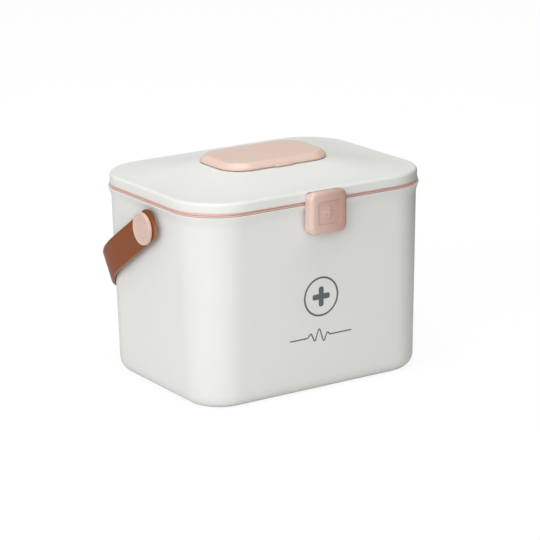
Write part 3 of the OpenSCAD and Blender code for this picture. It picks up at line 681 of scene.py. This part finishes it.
def lid_shell(s, tub, flap):
    """Locating lip, rounded edge, concave crown, pocket and opening for the cup, and the underside."""
    lip_z = tub.rim_h - 2.9
    top_z = s.foot_z + s.edge_h
    pad_z = top_z + s.crown_h
    edge = rounded_path([(1.5, s.foot_z), (0, s.foot_z), (0, top_z), (s.edge_r, top_z)],
                        [0.6, s.edge_r - 0.01], steps=10)
    pocket_z = pad_z - FLANGE_T - 0.05
    return skin(rings(np.vstack([
        tub_table(tub, [lip_z, lip_z + 0.6, s.foot_z], [LIP_IN + 0.4, LIP_IN, LIP_IN]),
        inset_table(s.width, s.depth, s.corner_r, edge[:, 0], edge[:, 1]),
        crown_table(s, flap, np.linspace(0, 1, 44)[1:]),
        inset_table(flap.flap_w, flap.flap_d, flap.flap_r, 2.5, [pad_z, pocket_z]),
        inset_table(flap.flap_w, flap.flap_d, flap.flap_r, 5, [pocket_z, pocket_z - s.wall]),
        crown_table(s, flap, np.linspace(0.86, 0.12, 20), s.wall),
        tub_table(tub, [top_z - s.wall - 1, top_z - s.wall - 3, lip_z],
                  [LIP_IN + LIP_T + 1.2, LIP_IN + LIP_T, LIP_IN + LIP_T])])), loop=True)


def lid_knuckle(s, x):
    """The lid's hinge barrel on a root that grows out of the lid's back edge."""
    r = LID_HIGH[1] - HINGE_Y
    back = s.depth / 2 - 1.5
    return rib([
        (back, s.foot_z), (HINGE_Y - r, s.foot_z), (HINGE_Y - r, HINGE_Z - r), (HINGE_Y + r, HINGE_Z - r),
        (HINGE_Y + r, HINGE_Z + r), (HINGE_Y, HINGE_Z + r), (back, HINGE_Z + r + 1.5)],
        [0.6, 0.6, 3.9, 3.9, 3.8, 1, 0.6], x - KNUCKLE_W / 2, x + KNUCKLE_W / 2, 0.5)


def latch_lug(s, x0, x1):
    """A lug in the lid's front notch that holds the latch's pin."""
    root, y0, y1, top = 2 - s.depth / 2, LATCH_Y - 3, LATCH_Y + 3, LATCH_Z + 3
    return rib([(y0, LATCH_Z - 3), (root, s.foot_z), (root, LATCH_Z - 2.4), (y1, LATCH_Z - 1.5), (y1, top),
                (y0, top)], [2.9, 0.4, 0.4, 0.5, 2.9, 2.9], x0, x1)


def facing_front(shell, offset=(0, 0, 0)):
    """A prism seen from the front and carried towards the back, from one that is carried along X: x and y
    change places, and the faces turn round so that they still point outwards."""
    return shell[0][:, [1, 0, 2]] + np.asarray(offset, float), [face[::-1] for face in shell[1]]


class MEDBOX_OT_lid(Operator):
    """Moulds the lid: crowned shell with lip, hinge knuckles, latch notch and lugs, and the cup's seat"""
    bl_idname = "medicine_box.lid"
    bl_label = "Lid"

    def execute(self, context):
        s = sizes("lid")
        lid = as_object("lid_moulding", lid_shell(s, sizes("tub"), sizes("tray")))
        half, low, high = LATCH_HIGH[0] - 0.7, s.foot_z - 8, LATCH_HIGH[2] - 1.1
        notch = facing_front(rib([(-half, low), (half, low), (half, high), (-half, high)], [6.3] * 4,
                                 -s.depth, NOTCH_IN + RIM_SPREAD[1] - s.depth / 2, 0.05))
        swing = bar(-half, half, LATCH_Y, LATCH_Z, LATCH_SWING, 4)
        lugs = [latch_lug(s, *ends) for ends in both_sides(*LATCH_LUG_X)]
        room_x, room_y, pad_z = TONGUE_X + TONGUE_GAP, TONGUE_Y + TONGUE_GAP, FLAP_LOW[2]
        tongue = block((-room_x, 0, pad_z - 2.25), (room_x, room_y, pad_z + 6.75), 0.05)
        carve(lid, [
            ("DIFFERENCE", [notch]),
            ("DIFFERENCE", [swing]),
            ("UNION", [lid_knuckle(s, -KNUCKLE_X), lid_knuckle(s, KNUCKLE_X), *lugs]),
            ("DIFFERENCE", [tongue])])
        stand_for(lid, "lid_shell", satin_moulded("satin_polypropylene_lid", paint("white")))
        return {"FINISHED"}


class MEDBOX_OT_seal(Operator):
    """Moulds the silicone seal: a band with two lips and a groove between them, round the lid's lip"""
    bl_idname = "medicine_box.seal"
    bl_label = "Seal"

    def execute(self, context):
        low, high = SEAL_LOW[2], SEAL_HIGH[2]
        groove, inner, middle = SEAL_IN + GROOVE_IN, LIP_IN - 0.05, (low + high) / 2
        band = rounded_path([
            (SEAL_IN, low), (SEAL_IN, middle - GROOVE_H), (groove, middle - 0.8 * GROOVE_H),
            (groove, middle + 0.8 * GROOVE_H), (SEAL_IN, middle + GROOVE_H), (SEAL_IN, high), (inner, high),
            (inner, low)], [0.4, 0.3, 0.1, 0.1, 0.3, 0.4, 0.3, 0.3], closed=True)
        tub = sizes("tub")
        seal = as_object("seal_band", skin(rings(tub_table(tub, band[:, 1], band[:, 0])), loop=True))
        stand_for(seal, "seal_ring", silicone_rubber("moulded_silicone_seal", paint("seal")))
        return {"FINISHED"}


# Latch

# Thickness of the latch's sides, width of the step round its panel, and the panel's corner radius
CHEEK = 1.7
PANEL_EDGE = 3.2
PANEL_R = 5.1
# Half the lengths of the barrel and the hook, and the barrel's radius
BARREL_X = 13.9
HOOK_X = 13
BARREL_R = 4.9
# Room that the latch leaves round the lid's lugs and round the pin
LUG_GAP = 0.3
LUG_ROOM_R = 3.4
PIN_ROOM_R = 1.65
PIN_ROOM_X = 18.2


def latch_shell(s):
    """Stacked rings seen from the front, carried from the back edge forwards: hollow, back edge, side,
    rounded front edge, face, and a recessed panel. Seen from the side the back edge leans in with the wall
    below, runs up straight past the rim, and above the pin is an arc: y = c + sqrt(r^2 - (z - pin)^2)."""
    face = -LATCH_LOW[1]
    back = -(LATCH_Y + 3.8)
    w, h, r = s.width, s.height, s.corner_r
    front = rounded_path([(0, back), (0, face), (s.edge_r + 1, face)], [s.edge_r], steps=10)
    sunk = face - s.panel_in
    panel = rounded_path([(0, face), (PANEL_EDGE / 2, face), (PANEL_EDGE / 2, sunk), (4, sunk)], [0.25, 0.25])
    hollow = rounded_path([(3, face - s.wall), (0, face - s.wall), (0, back)], [1.2])
    room = CHEEK + hollow[:, 0]
    table = np.vstack([
        plain_table(w - 2 * room, h - 2 * room, r - CHEEK - 0.5 * hollow[:, 0], hollow[:, 1]),
        plain_table(w - 2 * front[:, 0], h - 2 * front[:, 0], r - 0.9 * front[:, 0], front[:, 1]),
        inset_table(s.panel_w + PANEL_EDGE, s.panel_h + PANEL_EDGE, PANEL_R, panel[:, 0], panel[:, 1])])
    points, faces = skin(rings(table, ring_columns(16, 20, 20)))
    x, z, y = points[:, 0], points[:, 1] + (LATCH_LOW[2] + LATCH_HIGH[2]) / 2, -points[:, 2]
    radius = LATCH_HIGH[2] - LATCH_Z
    over = np.sqrt(np.maximum(radius ** 2 - np.maximum(z - LATCH_Z, 0) ** 2, 0)) - radius
    edge_y = np.interp(z, [LATCH_LOW[2], SEAL_LOW[2] - 6.3], [LATCH_HIGH[1], -back]) + over
    y = np.where(y > -back - 0.01, edge_y, y)
    return np.stack([x, y, z], 1), faces


def plus_sign(centre, arm, width, y0, y1):
    """A plus with rounded arms, seen from the front, raised from y1 to y0."""
    a, b = arm, width / 2
    corners = [(b, b), (b, a), (-b, a)]
    for _ in range(3):
        corners += [(-up, across) for across, up in corners[-3:]]
    plus = rib(corners, [0.3, b * 0.7, b * 0.7] * 4, y0, y1, min(0.3, (y1 - y0) / 3), 5)
    return facing_front(plus, (centre[0], 0, centre[1]))


class MEDBOX_OT_latch(Operator):
    """Moulds the latch: a pillow-fronted shell with a recessed panel, a barrel on the pin and a hook"""
    bl_idname = "medicine_box.latch"
    bl_label = "Latch"

    def execute(self, context):
        s = sizes("latch")
        latch = as_object("latch_moulding", latch_shell(s))
        face, low = LATCH_LOW[1], LATCH_LOW[2]
        barrel = bar(-BARREL_X, BARREL_X, LATCH_Y, LATCH_Z, BARREL_R)
        hook = block((-HOOK_X, face + s.wall - 0.6, low + 1.6), (HOOK_X, LATCH_Y + 4.2, low + 4.2), 0.5)
        mark_y = face + s.panel_in
        mark = plus_sign((0, (low + LATCH_HIGH[2]) / 2), 5.2, 3.2, mark_y - 0.9, mark_y + 0.4)
        lugs_x = both_sides(LATCH_LUG_X[0] - LUG_GAP, LATCH_LUG_X[1] + LUG_GAP)
        rounds = [bar(*ends, LATCH_Y, LATCH_Z, LUG_ROOM_R, 0.05) for ends in lugs_x]
        slots = [block((left, LATCH_Y, LATCH_Z - 6), (right, LATCH_Y + 20, LATCH_Z + 10), 0.05)
                 for left, right in lugs_x]
        pin_room = bar(-PIN_ROOM_X, PIN_ROOM_X, LATCH_Y, LATCH_Z, PIN_ROOM_R, 0.05)
        carve(latch, [("UNION", [barrel, hook]), ("UNION", [mark]), ("DIFFERENCE", rounds),
                      ("DIFFERENCE", slots), ("DIFFERENCE", [pin_room])])
        # Painted light: the latch is painted paler towards its left side and darker rose towards its right
        painted_lit_side = (s.width / 2, paint("rose_painted_lit"))
        finish = satin_moulded("satin_abs_latch", paint("rose"), (0.36, 0.46), 0.6, painted_lit_side)
        stand_for(latch, "latch", finish, 40)
        return {"FINISHED"}


# Flap, cup and tray

# Inset and height of the flap's undercut foot
FOOT_IN = 0.9
FOOT_H = 0.6
# Left ends and widths of the flap's knuckles and of the cup's ears beside them
FLAP_KNUCKLES_X = (-20.1, 12.1)
FLAP_KNUCKLE_W = 8
EARS_X = (-24.4, 20.4)
EAR_W = 4


class MEDBOX_OT_flap(Operator):
    """Moulds the pill flap: a bevelled hollow cap with a finger tab in front and two knuckles behind"""
    bl_idname = "medicine_box.flap"
    bl_label = "Flap"

    def execute(self, context):
        s = sizes("tray")
        low, high = FLAP_LOW[2], FLAP_HIGH[2]
        inner_z = high - s.flap_wall
        inset, z = rounded_path([
            (8.3, inner_z), (5.4, inner_z), (2.6, low + 1.2), (2.6, low), (FOOT_IN, low),
            (FOOT_IN, low + FOOT_H), (0, low + FOOT_H), (0, low + 1.5), (0.7, low + 2.8), (5.2, high),
            (9, high)], [1.2, 0.6, 0.2, 0.1, 0.1, 0.1, 0.5, 1.2, 2.2]).T
        table = inset_table(s.flap_w + 2 * FLAP_SPREAD, s.flap_d, s.flap_r, inset, z)
        flap = as_object("flap_moulding", skin(rings(table)))
        tab = skin(rings(plain_table([19.2, 20, 20, 19.2], [4.6, 5.4, 5.4, 4.6], [1.6, 2, 2, 1.6],
                                     [low, low + 0.4, low + 1.4, low + 1.8]), centre=(0, 1 - s.flap_d / 2)))
        back, under, over = s.flap_d / 2 - 2, FLAP_HINGE_Z - 1.6, FLAP_HINGE_Z + 1
        leaf = [(back, under), (FLAP_HINGE_Y, under), (FLAP_HINGE_Y, over), (back, over)]
        barrels = [bar(x, x + FLAP_KNUCKLE_W, FLAP_HINGE_Y, FLAP_HINGE_Z, 2) for x in FLAP_KNUCKLES_X]
        leaves = [rib(leaf, [0.2] * 4, x + 0.1, x + FLAP_KNUCKLE_W - 0.1, 0.2) for x in FLAP_KNUCKLES_X]
        carve(flap, [("UNION", [tab] + barrels), ("UNION", leaves)])
        finish = satin_moulded("satin_abs_flap", paint("blush"), (0.34, 0.44), 0.4)
        stand_for(flap, "pill_cover", finish, 40)
        return {"FINISHED"}


class MEDBOX_OT_cup(Operator):
    """Moulds the pill cup: three cells under a flange, with a tongue and ears for the flap's pin"""
    bl_idname = "medicine_box.cup"
    bl_label = "Pill cup"

    def execute(self, context):
        s = sizes("tray")
        pad_z = FLAP_LOW[2] - 0.6
        flange_z = pad_z - FLANGE_T
        low = CUP_LOW[2]
        w, d, r = s.flap_w - 11, s.flap_d - 11, s.flap_r - 5.5
        (out, up), (in_up, in_out) = quarter(4), quarter(3)
        brim = rounded_path([(-2.6, flange_z), (-2.6, pad_z), (s.cup_wall, pad_z), (s.cup_wall, pad_z - 4)],
                            [0.4, 0.6])
        rows = [(0.8 + out, low + up), (0, flange_z), brim.T,
                (0.8 + s.cup_wall + in_out, low + s.cup_wall + in_up)]
        table = np.vstack([inset_table(w, d, r, inset, z) for inset, z in rows])
        cup = as_object("cup_moulding", skin(rings(table)))
        walls = [block((x - 0.7, 1 - d / 2, low + 1), (x + 0.7, d / 2 - 1, low + 18), 0.3)
                 for x in (-w / 6, w / 6)]
        tongue = block((-TONGUE_X, d / 2 + 0.5, flange_z + 0.02), (TONGUE_X, TONGUE_Y, pad_z - 0.02), 0.3)
        y0, y1, z0, z1 = FLAP_HINGE_Y - 2, FLAP_HINGE_Y + 2, flange_z + 0.3, FLAP_HINGE_Z + 2
        ears = [rib([(y0, z0), (y1, z0), (y1, z1), (y0, z1)], [0.3, 0.3, 1.95, 1.95], x, x + EAR_W)
                for x in EARS_X]
        carve(cup, [("UNION", walls), ("UNION", [tongue]), ("UNION", ears)])
        stand_for(cup, "pill_cup", frosted_polypropylene("cup"), 40)
        return {"FINISHED"}


class MEDBOX_OT_tray(Operator):
    """Moulds the lift-out tray with its guides and finger scoops, and cuts its two dividers"""
    bl_idname = "medicine_box.tray"
    bl_label = "Tray"

    def execute(self, context):
        s = sizes("tray")
        low, high = TRAY_LOW[2], TRAY_HIGH[2]
        w, d = TRAY_HIGH[0] - TRAY_LOW[0], TRAY_HIGH[1] - TRAY_LOW[1]
        wall, draft = s.tray_wall, 1.0
        (out, up), (in_up, in_out) = quarter(5), quarter(4)
        brim = rounded_path([(0, high - 3), (0, high), (wall, high), (wall, high - 3)], [0.7, 0.7])
        rows = [(out, low + up), brim.T, (wall + in_out, low + wall + in_up)]
        table = []
        for inset, z in rows:
            lean = 2 * draft * (1 - (z - low) / (high - low))
            table.append(inset_table(w - lean, d - lean, s.tray_r, inset, z))
        tray = as_object("tray_moulding", skin(rings(np.vstack(table))))
        reach = d / 2 - wall - draft
        middle, half = (DIVIDER_LOW[0] + DIVIDER_HIGH[0]) / 2, (DIVIDER_HIGH[0] - DIVIDER_LOW[0]) / 2
        slot_x = DIVIDER_LOW[0] + 0.8
        guides = [block((x + side - 0.75, y, low + 1), (x + side + 0.75, y + 2.8, high - 3), 0.4)
                  for x in (slot_x, -slot_x) for side in (-1.75, 1.75) for y in (reach - 2.2, -reach - 0.6)]
        carve(tray, [("UNION", guides), ("DIFFERENCE", [bar(-w, w, 0, high + 4, s.scoop_r, steps=96)])])
        stand_for(tray, "tray", frosted_polypropylene("tray"))
        (_, y0, z0), (_, y1, z1) = DIVIDER_LOW, DIVIDER_HIGH
        step_z = z0 + 4
        outline = [(y0, step_z), (y0 + 4, step_z), (y0 + 4, z0), (y1 - 4, z0), (y1 - 4, step_z), (y1, step_z),
                   (y1, z1), (y0, z1)]
        radii = [0.6, 0.3, 0.6, 0.6, 0.3, 0.6, 3, 3]
        for side, x in (("left", -middle), ("right", middle)):
            divider = as_object("divider_" + side, rib(outline, radii, x - half, x + half, 0.4))
            stand_for(divider, "tray_divider_" + side,
                      frosted_polypropylene("divider_" + side))
        return {"FINISHED"}


# Strap and caps

# Degrees that the strap's arms point below level at rest
STRAP_REST = 32.5
# The strap ends this much and half its width past the pivot
EYE_FORWARD = 3.0
# Width of the edge bands: the paler core along the lower edge, painted shade along the upper one
EDGE_BAND_W = 0.9
# Where the cuts for the eyes begin, well inside the arms
EYES_FROM = 100


def strap_shell(s):
    """A flat band with rounded end corners, wrapped round its U and turned down to rest.
    Flat: rings of inset i and thickness n. Wrapped, at a distance u from the middle of the cross band:
    straight across, then round a bend of radius R + n, then along the arm to the pivot."""
    side = STRAP_HIGH[0]
    inner = s.bend_r - s.thick
    rest = math.radians(STRAP_REST)
    reach = (STRAP_HIGH[1] - PIVOT_Y - s.width / 2 * math.sin(rest)) / math.cos(rest) - s.thick
    cross = side - s.bend_r
    bend = math.pi / 2 * (inner + s.thick / 2)
    arm = reach - inner
    half_long = cross + bend + arm + EYE_FORWARD + s.width / 2
    across = np.linspace(s.width / 2, 2.2, 8)
    edge = rounded_path([(2.2, 0), (0, 0), (0, s.thick), (2.2, s.thick)], [s.edge_r, s.edge_r])[1:-1]
    inset = np.concatenate([across, edge[:, 0], across[::-1]])
    n = np.concatenate([0 * across, edge[:, 1], 0 * across + s.thick])
    grid = rings(inset_table(2 * half_long, s.width, s.end_r, inset, n), ring_columns(20, 300, 1))
    u, v, n = grid[..., 0], -grid[..., 1], grid[..., 2]
    sign, run = np.sign(u), np.abs(u)
    phi = np.clip((run - cross) / (inner + s.thick / 2), 0, np.pi / 2)
    along = np.maximum(run - cross - bend, 0)
    x = sign * (np.minimum(run, cross) + (inner + n) * np.sin(phi))
    y = arm - along + (inner + n) * np.cos(phi)
    c, t = math.cos(rest), math.sin(rest)
    grid = np.stack([x, PIVOT_Y + y * c + v * t, PIVOT_Z - y * t + v * c], -1)
    # Edge values: positive along the lower edge for the paler core, negative along the upper edge for painted
    # shade
    edge_core_and_shade = np.clip(1.1 - inset[:, None] / EDGE_BAND_W, 0, 1) * np.clip(-3 * v / s.width, -1, 1)
    return skin(grid, shut=False), edge_core_and_shade.ravel()


class MEDBOX_OT_strap(Operator):
    """Makes the carrying strap: a smooth band with rounded edges and end corners, on the two pivots"""
    bl_idname = "medicine_box.strap"
    bl_label = "Strap"

    def execute(self, context):
        s = sizes("strap")
        shell, edge_core_and_shade = strap_shell(s)
        strap = as_object("strap_band", shell, (2e-6, 1e-6), edge_core_and_shade)
        eyes = [bar(*ends, PIVOT_Y, PIVOT_Z, s.stem_r + 0.05)
                for ends in both_sides(EYES_FROM, STRAP_HIGH[0] + 5)]
        carve(strap, [("DIFFERENCE", eyes)])
        finish = strap_leather("smooth_leatherette_strap", paint("brown"), paint("core"))
        stand_for(strap, "strap_handle", finish, 50)
        return {"FINISHED"}


class MEDBOX_OT_caps(Operator):
    """Turns the two round caps: rolled rim, shallow dish with a ring groove, and a stem with a screw hole"""
    bl_idname = "medicine_box.caps"
    bl_label = "Caps"

    def execute(self, context):
        s = sizes("strap")
        top = CAP_HIGH[0]
        foot, dish = top - s.cap_t, top - 0.6
        r, stem, inner = s.cap_r, s.stem_r, CAP_LOW[0]
        shell = turned(rounded_path([
            (0, foot - 1), (1.8, foot - 1), (1.8, inner), (stem, inner), (stem, foot), (r, foot), (r, top),
            (r - 2.2, top), (r - 2.8, dish), (0.62 * r, dish), (0.57 * r, dish - 0.45), (0.52 * r, dish),
            (0, dish)], [0.2, 0.2, 0.3, 0.2, 0.5, 0.9, 0.3, 0.3, 0.2, 0.2, 0.2]))
        outwards = np.array([[0, 0, 1], [0, 1, 0], [-1, 0, 0]], float)
        for side, degrees in (("left", 180), ("right", 0)):
            turn = np.asarray(spin_z(degrees)) @ outwards
            cap = as_object("cap_" + side, moved(shell, turn, (0, PIVOT_Y, PIVOT_Z)))
            finish = satin_moulded("satin_abs_cap_" + side, paint("cap"), (0.34, 0.44))
            stand_for(cap, "strap_cap_" + side, finish)
        return {"FINISHED"}


# Small metal parts that stay as the CAD made them

METAL_SLOTS = {"pin": "pin_steel", "screw": "screw_steel", "washer": "washer_steel"}


class MEDBOX_OT_metal(Operator):
    """Finishes the steel pins, screws and washers"""
    bl_idname = "medicine_box.metal"
    bl_label = "Metal parts"

    def execute(self, context):
        finish = drawn_steel("drawn_zinc_plated_steel", paint("steel"))
        for name, made in frame["nodes"].items():
            kind = next((word for word in METAL_SLOTS if word in name), None)
            if kind is None:
                continue
            for place in made.material_slots:
                place.link = "OBJECT"
                place.material = finish
        return {"FINISHED"}


# Print on the front wall

# Height of the ring's middle, and the film's two faces before and behind the wall
PRINT_Z = 92.0
PRINT_FILM = (-0.06, 0.10)
RING_R = (17.2, 19.0)
# How far the pulse line lies below the ring's middle, its thickness, and its turns across and up
PULSE_BELOW = 38.0
PULSE_LINE = 1.3
PULSE = [(-34, 0), (-15, 0), (-11, 4.2), (-7, -5.2), (-2, 8.6), (3, -6.6), (7, 3.0), (10, 0), (34, 0)]


def front_print(s):
    """A ring with a plus in it and a pulse line below, flat on the drafted front wall."""
    y0, y1 = PRINT_FILM
    cos, sin = circle(96)
    radii = np.repeat(RING_R, 2)[:, None]
    x = radii * cos
    depth = np.broadcast_to(np.array([y1, y0, y0, y1])[:, None], x.shape)
    ring = skin(np.stack([x, depth, radii * sin + PRINT_Z], -1), loop=True)
    plus = plus_sign((0, PRINT_Z), 9.5, 5.4, y0, y1)
    line = rounded_path(PULSE, [0.8] * 7, steps=3)
    side = normals(np.gradient(line, axis=0)) * PULSE_LINE / 2
    outline = np.vstack([line + side, (line - side)[::-1]])
    stroke = facing_front(prism(outline, y0, y1, 0.02), (0, 0, PRINT_Z - PULSE_BELOW))
    points, faces = joined([ring, plus, stroke])
    points[:, 1] += wall_in(s, points[:, 2]) - s.rim_d / 2
    return points, faces


class MEDBOX_OT_print(Operator):
    """Prints a plain generic sign on the front"""
    bl_idname = "medicine_box.front_print"
    bl_label = "Front print"

    def execute(self, context):
        ink = as_object("front_print", front_print(sizes("tub")))
        ink.data.materials.append(printed_ink("screen_printed_ink", paint("ink")))
        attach(ink, BODY_OF["body_tub"])
        return {"FINISHED"}


# Stage

CAMERA_AT = Vector((-1.1669, -1.8325, 0.7069))
CAMERA_AZIMUTH, CAMERA_ELEVATION, CAMERA_ROLL = -32.83, 15.71, -0.87
CAMERA_LENS = 158.44
CAMERA_SHIFT = (-0.0160, -0.0011)
AMBIENT = 0.52
LIGHT_AIM = Vector((0, 0, 0.1))
# Each light's place, side and power
LIGHTS = {
    "key_low_left": ((-2.5, -1.4, 1.3), 1.6, 18),
    "key_low_front": ((-1.9, -2.3, 1.3), 1.6, 25),
    "soft_top": ((-0.2, -0.3, 3.0), 2.0, 37),
}
FLOOR = [(-9, -9, 0), (9, -9, 0), (9, 9, 0), (-9, 9, 0)]
FLAG = [(0.55, -1.5, 0), (0.55, 0.2, 0), (0.55, 0.2, 0.9), (0.55, -1.5, 0.9)]


def camera_turn():
    """The camera's axes: back from azimuth and elevation, right level, both turned by the roll about back."""
    az, el, roll = (math.radians(v) for v in (CAMERA_AZIMUTH, CAMERA_ELEVATION, CAMERA_ROLL))
    right = Vector((math.cos(az), math.sin(az), 0))
    back = Vector((math.sin(az) * math.cos(el), -math.cos(az) * math.cos(el), math.sin(el)))
    rolled = right * math.cos(roll) + back.cross(right) * math.sin(roll)
    return Matrix((rolled, back.cross(rolled), back)).transposed()


def seamless_paper():
    """Matt white backdrop paper: the camera sees it nearly white, with a faint shadow of the object."""
    material, tree, place = new_finish("matt_white_backdrop_paper")
    fibre = add(tree, "TexNoise", {"Vector": place, "Scale": 1 / (3 * MM), "Detail": 2.0})
    tone = add(tree, "MapRange", {"Value": fibre, "To Min": 0.76, "To Max": 0.79})
    paper = add(tree, "BsdfDiffuse", {"Color": tone})
    white = add(tree, "Emission", {"Color": (1, 1, 1, 1), "Strength": 1.06})
    ray = add(tree, "LightPath")
    share = add(tree, "Math", {0: ray.outputs["Is Camera Ray"], 1: 0.85}, operation="MULTIPLY")
    return surfaced(material, {0: share, 1: paper, 2: white}, "MixShader")


def black_velvet():
    """Velvet stretched on a frame: it takes nearly all light, a little unevenly where its pile lies over."""
    material, tree, place = new_finish("black_velvet_flag")
    pile = add(tree, "TexNoise", {"Vector": place, "Scale": 1 / (2 * MM), "Detail": 2.0})
    tone = add(tree, "MapRange", {"Value": pile, "To Min": 0.015, "To Max": 0.03})
    return surfaced(material, {"Color": tone}, "BsdfDiffuse")


class MEDBOX_OT_stage(Operator):
    """Sets the floor, the soft studio light, a black flag on the shaded side and the camera"""
    bl_idname = "medicine_box.stage"
    bl_label = "Stage"

    def execute(self, context):
        scene = context.scene
        scene.view_settings.view_transform = "Standard"
        for name, corners, finish in (("floor", FLOOR, seamless_paper()), ("flag", FLAG, black_velvet())):
            mesh = bpy.data.meshes.new(name)
            mesh.from_pydata(corners, [], [(0, 1, 2, 3)])
            mesh.materials.append(finish)
            made = placed(name, mesh)
            # The flag only shades the object and never stands in a view
            made.visible_camera = name != "flag"

        scene.world = bpy.data.worlds.new("studio")
        scene.world.use_nodes = True
        tree = scene.world.node_tree
        tree.nodes.clear()
        ray = add(tree, "LightPath").outputs
        seen = add(tree, "Math", {0: ray["Is Camera Ray"], 1: ray["Is Transmission Ray"]},
                   operation="MAXIMUM")
        strength = add(tree, "MapRange", {"Value": seen, "To Min": AMBIENT, "To Max": 1.0})
        sky = add(tree, "Background", {"Color": (1, 1, 1, 1), "Strength": strength})
        out = add(tree, "OutputWorld", {"Surface": sky})
        out.is_active_output = True

        for name, (place, size, watts) in LIGHTS.items():
            data = bpy.data.lights.new(name, "AREA")
            data.shape = "SQUARE"
            data.size = size
            data.energy = watts
            light = placed(name, data)
            light.location = place
            light.rotation_euler = (LIGHT_AIM - Vector(place)).to_track_quat("-Z", "Y").to_euler()

        data = bpy.data.cameras.new("camera")
        data.lens = CAMERA_LENS
        data.shift_x, data.shift_y = CAMERA_SHIFT
        data.clip_start, data.clip_end = 0.05, 50
        camera = placed("camera", data)
        camera.matrix_world = Matrix.Translation(CAMERA_AT) @ camera_turn().to_4x4()
        scene.camera = camera
        return {"FINISHED"}


# Panel and registration

STEPS = ("tub", "lid", "seal", "latch", "flap", "cup", "tray", "strap", "caps", "metal", "front_print",
         "stage")


class MEDBOX_PT_pieces(Panel):
    """Lists the pieces, their sizes and their colours"""
    bl_label = "Medicine Box"
    bl_idname = "MEDBOX_PT_pieces"
    bl_space_type = "VIEW_3D"
    bl_region_type = "UI"
    bl_category = "Medicine Box"

    def draw(self, context):
        layout = self.layout
        for step in STEPS:
            layout.operator("medicine_box." + step)
        for name, kind in GROUPS.items():
            box = layout.box()
            box.label(text=kind.__doc__)
            for value in kind.__annotations__:
                box.prop(getattr(context.scene, name), value)


GROUPS = {
    "medicine_box_tub": TubSizes,
    "medicine_box_lid": LidSizes,
    "medicine_box_latch": LatchSizes,
    "medicine_box_strap": StrapSizes,
    "medicine_box_tray": TraySizes,
    "medicine_box_finishes": Finishes,
}
CLASSES = (
    *GROUPS.values(), MEDBOX_OT_tub, MEDBOX_OT_lid, MEDBOX_OT_seal, MEDBOX_OT_latch, MEDBOX_OT_flap,
    MEDBOX_OT_cup, MEDBOX_OT_tray, MEDBOX_OT_strap, MEDBOX_OT_caps, MEDBOX_OT_metal, MEDBOX_OT_print,
    MEDBOX_OT_stage, MEDBOX_PT_pieces)


def register():
    """Registers the classes and hangs the settings on the scene."""
    for item in CLASSES:
        bpy.utils.register_class(item)
    for name, kind in GROUPS.items():
        setattr(bpy.types.Scene, name, PointerProperty(type=kind))


def unregister():
    """Takes the settings and classes away again."""
    for name in GROUPS:
        delattr(bpy.types.Scene, name)
    for item in reversed(CLASSES):
        bpy.utils.unregister_class(item)


def main():
    register()
    for step in STEPS:
        getattr(bpy.ops.medicine_box, step)()


if __name__ == "__main__":
    main()
